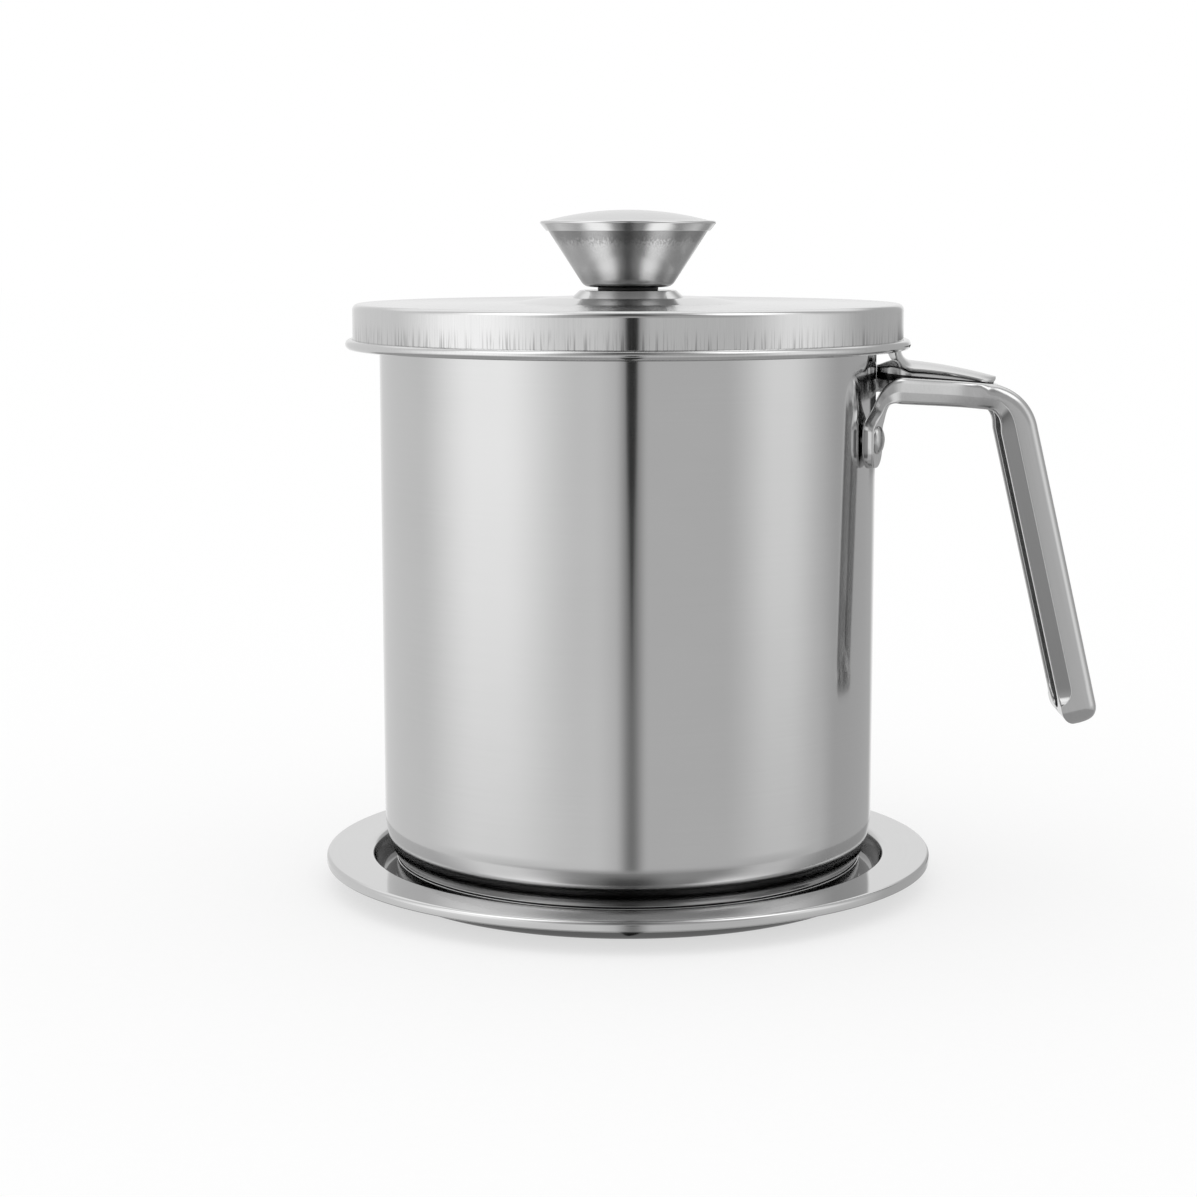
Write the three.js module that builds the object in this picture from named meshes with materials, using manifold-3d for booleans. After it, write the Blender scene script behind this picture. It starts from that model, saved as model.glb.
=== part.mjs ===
// Bacon grease container: a drip tray, a pot with a riveted handle, a strainer insert and a lid with a knob.
// Millimetres, +Z up. The origin is on the pot's axis, at the underside of the tray. The handle points to +X.

import * as THREE from 'three';
import { mergeVertices } from 'three/addons/utils/BufferGeometryUtils.js';
import Module from 'manifold-3d';

const wasm = await Module();
wasm.setup();

const degree = Math.PI / 180;

// Clearances
const seatGap = 0.1;
const fitGap = 0.3;
const boreGap = 0.2;
const cutOverrun = 2;

// Facets: around the large shells, the knob and the fasteners, and along a bend
const shellSegments = 44;
const knobSegments = 30;
const fastenerSegments = 12;
const bendSteps = 2;
const curveSteps = 4;
const domeSteps = 4;
const curlSteps = 6;

// Drip tray: its floor reaches past the pot's wall, and the well's side leans out to the rim
const traySheet = 0.7;
const trayHeight = 7.8;
const trayFloorGap = 1.4;
const trayWellFlare = 3;
const trayRimWidth = 10.1;
const trayFloorBend = 2.2;
const trayRimBend = 1.4;
const trayEdgeBend = 0.9;
const trayEdgeDrop = 2.1;

// Pot: its wall bends inward over its lowest part, down to the rim of the base
const potRadius = 60;
const potHeight = 139.5;
const potSheet = 0.6;
const potCurveRadius = 22.4;
const potCurveHeight = 11;
const potFootRise = 0.4;
const potFootBend = 0.7;
const potLipRadius = 1.7;
const potLipTurn = 250 * degree;

// Pot base: a heat-spreading core under the pot's floor, in a pressed cap
const baseHeight = 5.3;
const baseOverhang = 0.2;
const baseCapSheet = 0.5;
const baseCapBend = 1.4;

// Strainer insert
const strainerSheet = 0.6;
const strainerDepth = 34;
const strainerWallGap = 3.4;
const strainerTaper = 1.2;
const strainerBend = 2;
const strainerLedge = 5;
const strainerLipGap = 0.5;
const strainerLipDrop = 2.4;
const strainerLipBend = 0.9;
const netThickness = 0.6;
const netPitch = 8;
const netBar = 1.4;
const clampRingWidth = 4;
const clampRingThickness = 0.8;

// Lid
const lidSheet = 0.6;
const lidSkirtGap = 1.9;
const lidSkirtHeight = 9.6;
const lidCorner = 1.5;
const lidBeadRadius = 1.18;
const lidBeadTurn = 290 * degree;
const lidRise = 0.2;
const lidBossFootRadius = 28;
const lidBossRadius = 19.5;
const lidBossHeight = 1.2;

// Knob
const knobBaseFootRadius = 13.5;
const knobBaseRadius = 11.6;
const knobBaseHeight = 1.7;
const knobBaseSheet = 0.7;
const knobSpacerRadius = 7.3;
const knobSpacerHeight = 0.75;
const knobSheet = 0.8;
const knobFootRadius = 10.5;
const knobFootBend = 2.6;
const knobNeckRadius = 19.25;
const knobConeHeight = 13.5;
const knobCollarHeight = 1.9;
const knobHemGap = 0.15;
const knobCapSheet = 0.4;
const knobCapFlare = 1.75;
const knobCapSeat = 0.15;
const knobCapCrown = 2.5;
const knobCapRimRise = 0.3;
const knobCapRimBend = 0.4;

// Knob fasteners
const screwRadius = 2.5;
const screwLength = 14.5;
const screwHeadRadius = 4.7;
const screwHeadHeight = 2.6;
const screwHeadBend = 1.3;
const screwSlotWidth = 1.1;
const screwSlotLength = 5;
const screwSlotDepth = 1.5;
const coreRadius = 5;
const coreHeight = 11.6;
const flatWasherRadius = 6;
const flatWasherThickness = 1;
const lockWasherRadius = 4.5;
const lockWasherThickness = 1.2;
const lockWasherSplit = 0.9;
const screwTipGap = 1;

// Handle: the bend and grip
const handleWidth = 20;
const handleRailWidth = 3.6;
const handleBackSheet = 1.8;
const handleReach = 27;
const handleSlope = 5 * degree;
const handleBendRadius = 12.9;
const gripLean = 13.1 * degree;
const gripLength = 74.2;
const gripDepth = 8.8;
const gripBackBend = 3;
const gripRimBend = 1.7;
const gripEndLength = 4.5;
const gripEndSideBend = 6;
const gripEndDepthBend = 2.6;
const gripEndBendShare = 0.5;
const gripGrooveBend = 1.6;
const gripEndWall = 4;
const gripBendSteps = 8;
const gripStraightSteps = 3;
const gripEndSteps = 4;

// Handle: the two arms and their lugs
const armHeight = 6.2;
const armRootLength = 3;
const armDropRadius = 6;
const armSplayShare = 0.18;
const armRunSteps = 8;
const armDropSteps = 5;
const lugFootSteps = 3;
const armRingPoints = 16;
const armSquareness = 3;
const lugAngle = 21.5 * degree;
const lugLean = 26 * degree;
const lugFootRadius = 5;
const lugFootRise = 2;
const lugThickness = 2.8;
const lugWidth = 8.4;
const lugDrop = 18.9;
const lugEndLength = 5;
const lugEndBend = 3;
const lugEndThinning = 0.6;

// Handle: rivets
const rivetRise = 6.6;
const rivetRadius = 2;
const rivetHeadRadius = 3.3;
const rivetHeadHeight = 1.3;
const rivetTailRadius = 2.9;
const rivetTailHeight = 1.1;
const burrRadius = 3.7;
const burrThickness = 0.8;
const burrWallGap = 0.3;

// Handle: the thumb plate and the web that carries it
const plateSheet = 0.8;
const plateTipReach = 2.3;
const plateTipSeat = 0.6;
const plateFootGap = 8.6;
const plateFootRise = 5.3;
const plateFootSlope = 0.1;
const plateTipSlope = 0.275;
const plateLipRadius = 2.8;
const plateLipRise = 2.5;
const plateLipGap = 0.52;
const plateTipHalfWidth = 7.5;
const plateTipLength = 4.7;
const plateLipHalfWidth = 9.5;
const plateCrownDrop = 1.8;
const plateCrownHalfWidth = 11;
const plateRunSteps = 6;
const plateLipSteps = 4;
const plateTipSteps = 4;
const plateTipStartShare = 0.25;
const plateAcrossSteps = 8;
const webSheet = 1.2;
const webNoseInset = 2;
const webTipGap = 1;
const webTipBevelShare = 0.5;
const webBelowRail = 1.4;
const webUnderPlate = 0.3;
const webNoseRise = 1.1;
const webCrownRadius = 20;
const webNoseSteps = 8;
const webRunSteps = 12;
const webAcrossSteps = 6;

// Radii that follow the pot's
const potInnerRadius = potRadius - potSheet;
const potLipOuterRadius = potInnerRadius + 2 * potLipRadius;
const potCurveCentreRadius = potRadius - potCurveRadius;
const trayFloorRadius = potRadius + trayFloorGap;
const trayRimInnerRadius = trayFloorRadius + trayWellFlare;
const trayRadius = trayRimInnerRadius + trayRimWidth;
const strainerRadius = potInnerRadius - strainerWallGap - strainerSheet;
const strainerLipRadius = potLipOuterRadius + strainerLipGap + strainerSheet;
const lidRadius = strainerLipRadius + lidSkirtGap + lidSheet;

// Heights of the stack on the pot's axis
const potBottomZ = traySheet;
const potFloorZ = potBottomZ + baseHeight + seatGap + potSheet;
const potCurveZ = potFloorZ + potCurveHeight;
const potRimZ = potBottomZ + potHeight;
const strainerTopZ = potRimZ + seatGap + strainerSheet;
const lidTopZ = strainerTopZ + seatGap + lidSheet;
const lidBeadZ = lidTopZ - lidSkirtHeight;
const lidBossZ = lidTopZ + lidRise + lidBossHeight;
const knobBaseZ = lidBossZ + knobBaseHeight;
const knobFootZ = knobBaseZ + knobSpacerHeight;
const knobConeTopZ = knobFootZ + knobConeHeight;
const knobNeckZ = knobConeTopZ + knobCollarHeight;
const knobCapTopZ = knobNeckZ + knobCapSeat + knobCapSheet + knobCapCrown;
const screwHole = screwRadius + boreGap;

// Places of the handle: outward from the pot's wall, and downward from the lid's bead
const plateLipTopZ = lidBeadZ - lidBeadRadius - plateLipGap;
const plateFootZ = plateLipTopZ - plateLipRise;
const handleTopZ = plateFootZ - plateFootRise;
const handleBendX = potRadius + handleReach;
const lugBottomZ = handleTopZ - lugDrop;
const rivetZ = lugBottomZ + rivetRise;
const plateTipX = handleBendX + plateTipReach;
const plateTipZ = handleTopZ + plateSheet + plateTipSeat;
const plateFootX = potRadius + plateFootGap;
const webNoseRadius = handleWidth / 2 - webNoseInset;
const webTipHalfWidth = handleWidth / 2 - handleRailWidth - webTipGap;

// Materials
function steel(color, roughness) {
  return new THREE.MeshStandardMaterial({ color, roughness, metalness: 1 });
}

function rubber(color) {
  return new THREE.MeshStandardMaterial({ color, roughness: 0.7, metalness: 0 });
}

const polished = 0xc9c9c9;
const satin = 0xb4b4b4;
const bare = 0xa4a6a8;
const black = 0x17181a;
const dull = 0xb9babc;

// Outlines: points are (radius, height) for turned pieces
function point(x, y) {
  return new THREE.Vector2(x, y);
}

function arc(centre, radius, from, to, steps) {
  return Array.from({ length: steps + 1 }, (_, i) => {
    const angle = from + (to - from) * i / steps;
    return point(centre.x + radius * Math.cos(angle), centre.y + radius * Math.sin(angle));
  });
}

// A corner rounded with an arc that is tangent to both of its sides
function roundedCorner(before, corner, after, radius, steps) {
  const back = before.clone().sub(corner).normalize();
  const ahead = after.clone().sub(corner).normalize();
  const half = Math.acos(back.dot(ahead)) / 2;
  const centre = back.clone().add(ahead).normalize().multiplyScalar(radius / Math.sin(half)).add(corner);
  const start = corner.clone().addScaledVector(back, radius / Math.tan(half)).sub(centre);
  const turn = (Math.PI - 2 * half) * Math.sign(back.cross(ahead));
  return arc(centre, radius, start.angle(), start.angle() - turn, steps);
}

// A line through corners, each rounded with its own radius; the ends stay sharp
function roundedLine(corners, radii, steps) {
  const inner = corners.slice(1, -1).flatMap((corner, i) => (
    radii[i] > 0 ? roundedCorner(corners[i], corner, corners[i + 2], radii[i], steps) : [corner]
  ));
  return [corners[0], ...inner, corners[corners.length - 1]];
}

// The closed outline of a sheet: a line and its copy, moved by the sheet's thickness to the right of travel
function sheetOutline(line, thickness) {
  const sides = line.slice(1).map((end, i) => {
    const along = end.clone().sub(line[i]).normalize();
    return point(along.y, -along.x);
  });
  const moved = line.map((corner, i) => {
    const before = sides[Math.max(i - 1, 0)];
    const after = sides[Math.min(i, sides.length - 1)];
    const middle = before.clone().add(after).normalize();
    return corner.clone().addScaledVector(middle, thickness / middle.dot(after));
  });
  return [...line, ...moved.reverse(), line[0]];
}

// Solids
function clean(geometry) {
  geometry.deleteAttribute('normal');
  geometry.deleteAttribute('uv');
  const merged = mergeVertices(geometry, 1e-4);
  const corners = merged.index.array;
  const kept = [];
  for (let i = 0; i < corners.length; i += 3) {
    const [a, b, c] = corners.slice(i, i + 3);
    if (a !== b && b !== c && c !== a) kept.push(a, b, c);
  }
  merged.setIndex(kept);
  return volume(merged) < 0 ? turnedInsideOut(merged) : merged;
}

function volume(geometry) {
  const corner = geometry.attributes.position;
  const [a, b, c] = [new THREE.Vector3(), new THREE.Vector3(), new THREE.Vector3()];
  let sum = 0;
  for (let i = 0; i < geometry.index.count; i += 3) {
    a.fromBufferAttribute(corner, geometry.index.getX(i));
    b.fromBufferAttribute(corner, geometry.index.getX(i + 1));
    c.fromBufferAttribute(corner, geometry.index.getX(i + 2));
    sum += a.dot(b.cross(c)) / 6;
  }
  return sum;
}

function turnedInsideOut(geometry) {
  geometry.setIndex(Array.from(geometry.index.array).reverse());
  return geometry;
}

function turned(outline, segments) {
  return clean(new THREE.LatheGeometry(outline, segments).rotateX(Math.PI / 2));
}

function ring(innerRadius, outerRadius, bottomZ, topZ, segments) {
  const corners = [
    point(innerRadius, bottomZ),
    point(outerRadius, bottomZ),
    point(outerRadius, topZ),
    point(innerRadius, topZ),
  ];
  return turned([...corners, corners[0]], segments);
}

function disc(radius, bottomZ, topZ, segments) {
  return turned([point(0, bottomZ), point(radius, bottomZ), point(radius, topZ), point(0, topZ)], segments);
}

// A skin over rings of equal length; each end is closed rung by rung
function loft(rings) {
  const count = rings[0].length;
  const positions = rings.flat().flatMap((corner) => corner.toArray());
  const faces = [];
  for (let i = 0; i + 1 < rings.length; i += 1) {
    for (let j = 0; j < count; j += 1) {
      const here = i * count;
      const next = (j + 1) % count;
      faces.push(here + j, here + next, here + count + next);
      faces.push(here + j, here + count + next, here + count + j);
    }
  }
  for (let j = 0; j + 1 < count / 2; j += 1) {
    const far = count - 1 - j;
    const end = (rings.length - 1) * count;
    faces.push(j, far, far - 1, j, far - 1, j + 1);
    faces.push(end + j, end + far - 1, end + far, end + j, end + j + 1, end + far - 1);
  }
  const geometry = new THREE.BufferGeometry();
  geometry.setAttribute('position', new THREE.Float32BufferAttribute(positions, 3));
  geometry.setIndex(faces);
  return clean(geometry);
}

function toSolid(geometry) {
  return new wasm.Manifold(new wasm.Mesh({
    numProp: 3,
    vertProperties: Float32Array.from(geometry.attributes.position.array),
    triVerts: Uint32Array.from(geometry.index.array),
  }));
}

function toGeometry(solid) {
  const mesh = solid.getMesh();
  const geometry = new THREE.BufferGeometry();
  geometry.setAttribute('position', new THREE.BufferAttribute(mesh.vertProperties, 3));
  geometry.setIndex(new THREE.BufferAttribute(mesh.triVerts, 1));
  return geometry;
}

function cut(body, ...tools) {
  return toGeometry(tools.reduce((solid, tool) => solid.subtract(toSolid(tool)), toSolid(body)));
}

function joined(first, ...others) {
  return toGeometry(others.reduce((solid, other) => solid.add(toSolid(other)), toSolid(first)));
}

function common(first, second) {
  return toGeometry(toSolid(first).intersect(toSolid(second)));
}

const model = new THREE.Group();

function place(name, geometry, material, parent = model) {
  const mesh = new THREE.Mesh(geometry, material);
  mesh.name = name;
  parent.add(mesh);
}

// Blends
function mix(from, to, share) {
  return from + (to - from) * share;
}

function smooth(share) {
  const inside = THREE.MathUtils.clamp(share, 0, 1);
  return inside * inside * (3 - 2 * inside);
}

// Drip tray: a floor, a well that the pot's foot stands in, and a broad rim with a turned edge
function dripTray() {
  const line = roundedLine(
    [
      point(0, traySheet),
      point(trayFloorRadius, traySheet),
      point(trayRimInnerRadius - trayRimBend, trayHeight),
      point(trayRadius, trayHeight),
      point(trayRadius, trayHeight - trayEdgeDrop),
    ],
    [trayFloorBend, trayRimBend, trayEdgeBend],
    bendSteps,
  );
  return turned(sheetOutline(line, traySheet), shellSegments);
}

// A cylinder of the pot's outside, grown by a gap, that shapes whatever lies against the wall
function potCutter(gap) {
  return disc(potRadius + gap, -cutOverrun, lidTopZ, shellSegments);
}

// Along a rivet, from the pot's axis: the flat under its head, and the two faces of its burr
const rivetSeat = potRadius + fitGap + lugThickness - lugEndThinning / 2;
const burrOuter = potInnerRadius - burrWallGap;
const burrInner = burrOuter - burrThickness;

// A turned piece moved onto the axis of a rivet; height zero lies on the pot's axis
function onRivetAxis(geometry, side) {
  return geometry.rotateY(Math.PI / 2).rotateZ(side * lugAngle).translate(0, 0, rivetZ);
}

function rivetBore(side) {
  const [start, end] = [burrInner - cutOverrun, rivetSeat + cutOverrun];
  return onRivetAxis(disc(rivetRadius + boreGap, start, end, fastenerSegments), side);
}

// Pot: a drawn cup whose wall bends in toward its foot and whose rim is curled outward
const potCurveInner = potCurveRadius - potSheet;
const potCurveTurn = Math.asin((potCurveHeight - potFootRise) / potCurveInner);

function potBody() {
  const curveCentre = point(potCurveCentreRadius, potCurveZ);
  const curve = arc(curveCentre, potCurveInner, -potCurveTurn, 0, curveSteps);
  const foot = point(curve[0].x - potFootRise * Math.tan(potCurveTurn), potFloorZ);
  const floor = roundedLine([point(0, potFloorZ), foot, curve[0]], [potFootBend], bendSteps).slice(0, -1);
  const lipCentre = point(potInnerRadius + potLipRadius, potRimZ - potLipRadius);
  const lip = arc(lipCentre, potLipRadius, Math.PI, Math.PI - potLipTurn, curlSteps);
  const cup = turned(sheetOutline([...floor, ...curve, ...lip], potSheet), shellSegments);
  return cut(cup, rivetBore(1), rivetBore(-1));
}

// Pot base: the cap's rim stands just proud of the pot's foot
const baseRadius = potCurveCentreRadius + potCurveRadius * Math.cos(potCurveTurn) + baseOverhang;
const baseTopZ = potBottomZ + baseHeight;

function baseCap() {
  const line = roundedLine(
    [point(0, potBottomZ), point(baseRadius, potBottomZ), point(baseRadius, baseTopZ)],
    [baseCapBend],
    bendSteps,
  );
  return turned(sheetOutline(line, -baseCapSheet), shellSegments);
}

function baseCore() {
  const radius = baseRadius - baseCapSheet - fitGap;
  const bottomZ = potBottomZ + baseCapSheet + seatGap;
  const corners = [point(0, bottomZ), point(radius, bottomZ), point(radius, baseTopZ), point(0, baseTopZ)];
  return turned(roundedLine(corners, [baseCapBend, 0], bendSteps), shellSegments);
}

// Handle grip: rings across the bend and the grip, from a distance along the outer back
const gripBackAngle = Math.PI / 2 - handleSlope;
const gripBendTurn = gripBackAngle - gripLean;
const gripBendLength = gripBendTurn * handleBendRadius;
const gripBendCentre = point(
  handleBendX - handleBendRadius * Math.cos(gripBackAngle),
  handleTopZ - handleBendRadius * Math.sin(gripBackAngle),
);

// The place and outward direction of the handle's back
function gripBack(length) {
  const turn = THREE.MathUtils.clamp(length / handleBendRadius, 0, gripBendTurn);
  const out = point(Math.cos(gripBackAngle - turn), Math.sin(gripBackAngle - turn));
  const along = point(out.y, -out.x);
  const straight = length - turn * handleBendRadius;
  const spot = gripBendCentre.clone().addScaledVector(out, handleBendRadius).addScaledVector(along, straight);
  return { spot, out };
}

function gripDepthAt(length) {
  return mix(armHeight, gripDepth, smooth(length / gripBendLength));
}

// A ring from an outline of (across, depth) points, laid at a length along the back
function gripRing(length, outline) {
  const { spot, out } = gripBack(length);
  return outline.map((corner) => new THREE.Vector3(
    spot.x - out.x * corner.y,
    corner.x,
    spot.y - out.y * corner.y,
  ));
}

// A rounded box across the grip: shallow and deep sides at two depths, with a bend at each
function boxOutline(halfWidth, shallow, deep, shallowBend, deepBend) {
  const turns = [
    [point(-halfWidth + shallowBend, shallow + shallowBend), shallowBend, Math.PI, 1.5 * Math.PI],
    [point(halfWidth - shallowBend, shallow + shallowBend), shallowBend, 1.5 * Math.PI, 2 * Math.PI],
    [point(halfWidth - deepBend, deep - deepBend), deepBend, 0, 0.5 * Math.PI],
    [point(-halfWidth + deepBend, deep - deepBend), deepBend, 0.5 * Math.PI, Math.PI],
  ];
  return turns.flatMap(([centre, radius, from, to]) => arc(centre, radius, from, to, bendSteps));
}

function gripLengths(start, end) {
  const bend = Array.from({ length: gripBendSteps }, (_, i) => gripBendLength * i / gripBendSteps);
  const straight = Array.from({ length: gripStraightSteps + 1 }, (_, i) => (
    mix(gripBendLength, end, i / gripStraightSteps)
  ));
  return [...(start < 0 ? [start] : []), ...bend, ...straight];
}

function gripOuter() {
  const end = gripBendLength + gripLength - gripEndLength;
  const rings = gripLengths(0, end).map((length) => (
    gripRing(length, boxOutline(handleWidth / 2, 0, gripDepthAt(length), gripBackBend, gripRimBend))
  ));
  for (let i = 1; i <= gripEndSteps; i += 1) {
    const angle = Math.PI / 2 * i / gripEndSteps;
    const shrink = 1 - Math.cos(angle);
    const halfWidth = handleWidth / 2 - gripEndSideBend * shrink;
    const shallow = gripEndDepthBend * shrink;
    const bends = [gripBackBend, gripRimBend].map((bend) => mix(bend, bend * gripEndBendShare, shrink));
    const outline = boxOutline(halfWidth, shallow, gripDepth - shallow, ...bends);
    rings.push(gripRing(end + gripEndLength * Math.sin(angle), outline));
  }
  return loft(rings);
}

function gripGroove() {
  const halfWidth = handleWidth / 2 - handleRailWidth;
  const end = gripBendLength + gripLength - gripEndWall - halfWidth;
  const outline = (width, length) => boxOutline(
    width,
    handleBackSheet,
    gripDepthAt(length) + cutOverrun,
    gripGrooveBend,
    gripGrooveBend / 2,
  );
  const rings = gripLengths(-cutOverrun, end).map((length) => gripRing(length, outline(halfWidth, length)));
  for (let i = 1; i < gripEndSteps; i += 1) {
    const angle = Math.PI / 2 * i / gripEndSteps;
    const length = end + halfWidth * Math.sin(angle);
    rings.push(gripRing(length, outline(Math.max(halfWidth * Math.cos(angle), gripGrooveBend), length)));
  }
  return loft(rings);
}

// Handle arm: a rail that leaves the bend, spreads toward the wall and drops into a flat lug
const lugRadius = potRadius + fitGap + lugThickness / 2;
const lugPlace = point(lugRadius * Math.cos(lugAngle), lugRadius * Math.sin(lugAngle));
const railRoot = point(handleBendX + armRootLength, handleWidth / 2 - handleRailWidth / 2);
const armReach = lugPlace.distanceTo(railRoot);
const armRootZ = handleTopZ - armHeight / 2 / Math.cos(handleSlope) - armRootLength * Math.tan(handleSlope);

// The arm's drop: a bend at the crest, a steep stretch that stands off from the wall, and a bend at its foot
const steepClimb = lugLean - Math.PI / 2;
const crestReach = armDropRadius * (Math.sin(handleSlope) - Math.sin(steepClimb));
const crestFall = armDropRadius * (Math.cos(handleSlope) - Math.cos(steepClimb));
const footReach = lugFootRadius * (1 + Math.sin(steepClimb));
const footFall = lugFootRadius * Math.cos(steepClimb);
const bentReach = armReach - crestReach - footReach;
const steepFall = armRootZ + bentReach * Math.tan(handleSlope) - crestFall - footFall - rivetZ - lugFootRise;
const steepLength = steepFall / (Math.tan(handleSlope) * Math.cos(steepClimb) - Math.sin(steepClimb));
const armRun = bentReach - steepLength * Math.cos(steepClimb);

// Places along a downward bend of the arm, each with its reach, height and climb
function bendPlaces(start, radius, end, count) {
  return Array.from({ length: count }, (_, i) => {
    const climb = mix(start.climb, end, (i + 1) / count);
    return {
      reach: start.reach + radius * (Math.sin(start.climb) - Math.sin(climb)),
      z: start.z - radius * (Math.cos(start.climb) - Math.cos(climb)),
      climb,
    };
  });
}

function steepPlace(start, length) {
  return {
    reach: start.reach + length * Math.cos(steepClimb),
    z: start.z + length * Math.sin(steepClimb),
    climb: steepClimb,
  };
}

// One ring of an arm: how far it has come level, its height, its climb, and its half sizes
function armRing(side, { reach, z, climb, halfWidth, halfThickness }) {
  const share = reach / armReach;
  const spread = smooth((share - armSplayShare) / (1 - armSplayShare));
  const heading = Math.PI + spread * lugAngle;
  const ahead = new THREE.Vector3(Math.cos(heading), Math.sin(heading), 0);
  const across = new THREE.Vector3(-ahead.y, ahead.x, 0);
  const above = new THREE.Vector3(0, 0, Math.cos(climb)).addScaledVector(ahead, -Math.sin(climb));
  const centre = new THREE.Vector3(
    mix(railRoot.x, lugPlace.x, share),
    mix(railRoot.y, lugPlace.y, spread),
    z,
  );
  return Array.from({ length: armRingPoints }, (_, i) => {
    const angle = 2 * Math.PI * (i + 0.5) / armRingPoints;
    const [c, s] = [Math.cos(angle), Math.sin(angle)];
    const wide = halfWidth * Math.sign(c) * Math.abs(c) ** (2 / armSquareness);
    const high = halfThickness * Math.sign(s) * Math.abs(s) ** (2 / armSquareness);
    const corner = centre.clone().addScaledVector(across, wide).addScaledVector(above, high);
    return corner.setY(corner.y * side);
  });
}

function handleArm(side) {
  const rings = [];
  for (let i = 0; i <= armRunSteps; i += 1) {
    const reach = armRun * i / armRunSteps;
    rings.push(armRing(side, {
      reach,
      z: armRootZ + reach * Math.tan(handleSlope),
      climb: handleSlope,
      halfWidth: handleRailWidth / 2,
      halfThickness: armHeight / 2,
    }));
  }
  const crest = { reach: armRun, z: armRootZ + armRun * Math.tan(handleSlope), climb: handleSlope };
  const crestPlaces = bendPlaces(crest, armDropRadius, steepClimb, armDropSteps);
  crestPlaces.forEach((spot, i) => rings.push(armRing(side, {
    ...spot,
    halfWidth: handleRailWidth / 2,
    halfThickness: mix(armHeight, lugThickness, smooth((i + 1) / armDropSteps)) / 2,
  })));
  const steep = crestPlaces[crestPlaces.length - 1];
  const foot = steepPlace(steep, steepLength);
  const footPlaces = [
    steepPlace(steep, steepLength / 2),
    foot,
    ...bendPlaces(foot, lugFootRadius, -Math.PI / 2, lugFootSteps),
  ];
  footPlaces.forEach((spot, i) => rings.push(armRing(side, {
    ...spot,
    halfWidth: mix(handleRailWidth, lugWidth, smooth((i + 1) / footPlaces.length)) / 2,
    halfThickness: lugThickness / 2,
  })));
  for (let i = 0; i <= bendSteps; i += 1) {
    const angle = Math.PI / 2 * i / bendSteps;
    const shrink = 1 - Math.cos(angle);
    rings.push(armRing(side, {
      reach: armReach,
      z: lugBottomZ + lugEndLength * (1 - Math.sin(angle)),
      climb: -Math.PI / 2,
      halfWidth: lugWidth / 2 - lugEndBend * shrink,
      halfThickness: lugThickness / 2 - lugEndThinning * shrink,
    }));
  }
  return loft(rings);
}

function rivetSeatCutter(side) {
  const radius = rivetHeadRadius + fitGap;
  return onRivetAxis(disc(radius, rivetSeat, rivetSeat + cutOverrun * 2, fastenerSegments), side);
}

function handleGrip() {
  const body = joined(gripOuter(), handleArm(1), handleArm(-1));
  return cut(
    body,
    gripGroove(),
    potCutter(fitGap),
    rivetBore(1),
    rivetBore(-1),
    rivetSeatCutter(1),
    rivetSeatCutter(-1),
  );
}

// Thumb plate: the ridge of its upper face, from the tip to the lip under the lid
const plateControl = point(
  (plateFootZ + plateFootSlope * plateFootX - plateTipZ - plateTipSlope * plateTipX)
    / (plateFootSlope - plateTipSlope),
  0,
);
plateControl.y = plateFootZ - plateFootSlope * (plateControl.x - plateFootX);
const plateRidge = new THREE.QuadraticBezierCurve(
  point(plateTipX, plateTipZ),
  plateControl,
  point(plateFootX, plateFootZ),
);
const plateFootAngle = Math.atan(plateFootSlope);
const plateLipCentre = point(
  plateFootX + plateLipRadius * Math.sin(plateFootAngle),
  plateFootZ + plateLipRadius * Math.cos(plateFootAngle),
);
const plateLipTurn = Math.PI / 2 - plateFootAngle
  - Math.asin((plateLipCentre.y - plateLipTopZ) / plateLipRadius);
const plateSpan = plateTipX - plateTipLength - (plateLipCentre.x - plateLipRadius);

function plateHalfWidth(x) {
  const past = (x - plateTipX + plateTipLength) / plateTipLength;
  if (past > 0) return plateTipHalfWidth * Math.sqrt(Math.max(1 - past * past, 0));
  const share = -past * plateTipLength / plateSpan;
  return mix(plateTipHalfWidth, plateLipHalfWidth, share * share);
}

// Share of the ridge at which it passes over a given x
function ridgeShare(x) {
  const a = plateTipX - 2 * plateControl.x + plateFootX;
  const b = 2 * (plateControl.x - plateTipX);
  const c = plateTipX - x;
  return 2 * c / (-b + Math.sqrt(b * b - 4 * a * c));
}

function ridgeStation(x) {
  const share = ridgeShare(x);
  const along = plateRidge.getTangent(share);
  return { spot: plateRidge.getPoint(share), under: point(-along.y, along.x) };
}

function lipStation(turn) {
  const angle = -Math.PI / 2 - plateFootAngle - turn;
  const under = point(Math.cos(angle), Math.sin(angle));
  return { spot: plateLipCentre.clone().addScaledVector(under, plateLipRadius), under };
}

function plateStations() {
  const tip = Array.from({ length: plateTipSteps }, (_, i) => {
    const angle = Math.PI / 2 * (plateTipSteps - i - plateTipStartShare) / plateTipSteps;
    return ridgeStation(plateTipX - plateTipLength * (1 - Math.sin(angle)));
  });
  const run = Array.from({ length: plateRunSteps }, (_, i) => (
    ridgeStation(mix(plateTipX - plateTipLength, plateFootX, i / plateRunSteps))
  ));
  const lip = Array.from({ length: plateLipSteps + 1 }, (_, i) => (
    lipStation(plateLipTurn * i / plateLipSteps)
  ));
  return [...tip, ...run, ...lip];
}

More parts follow.
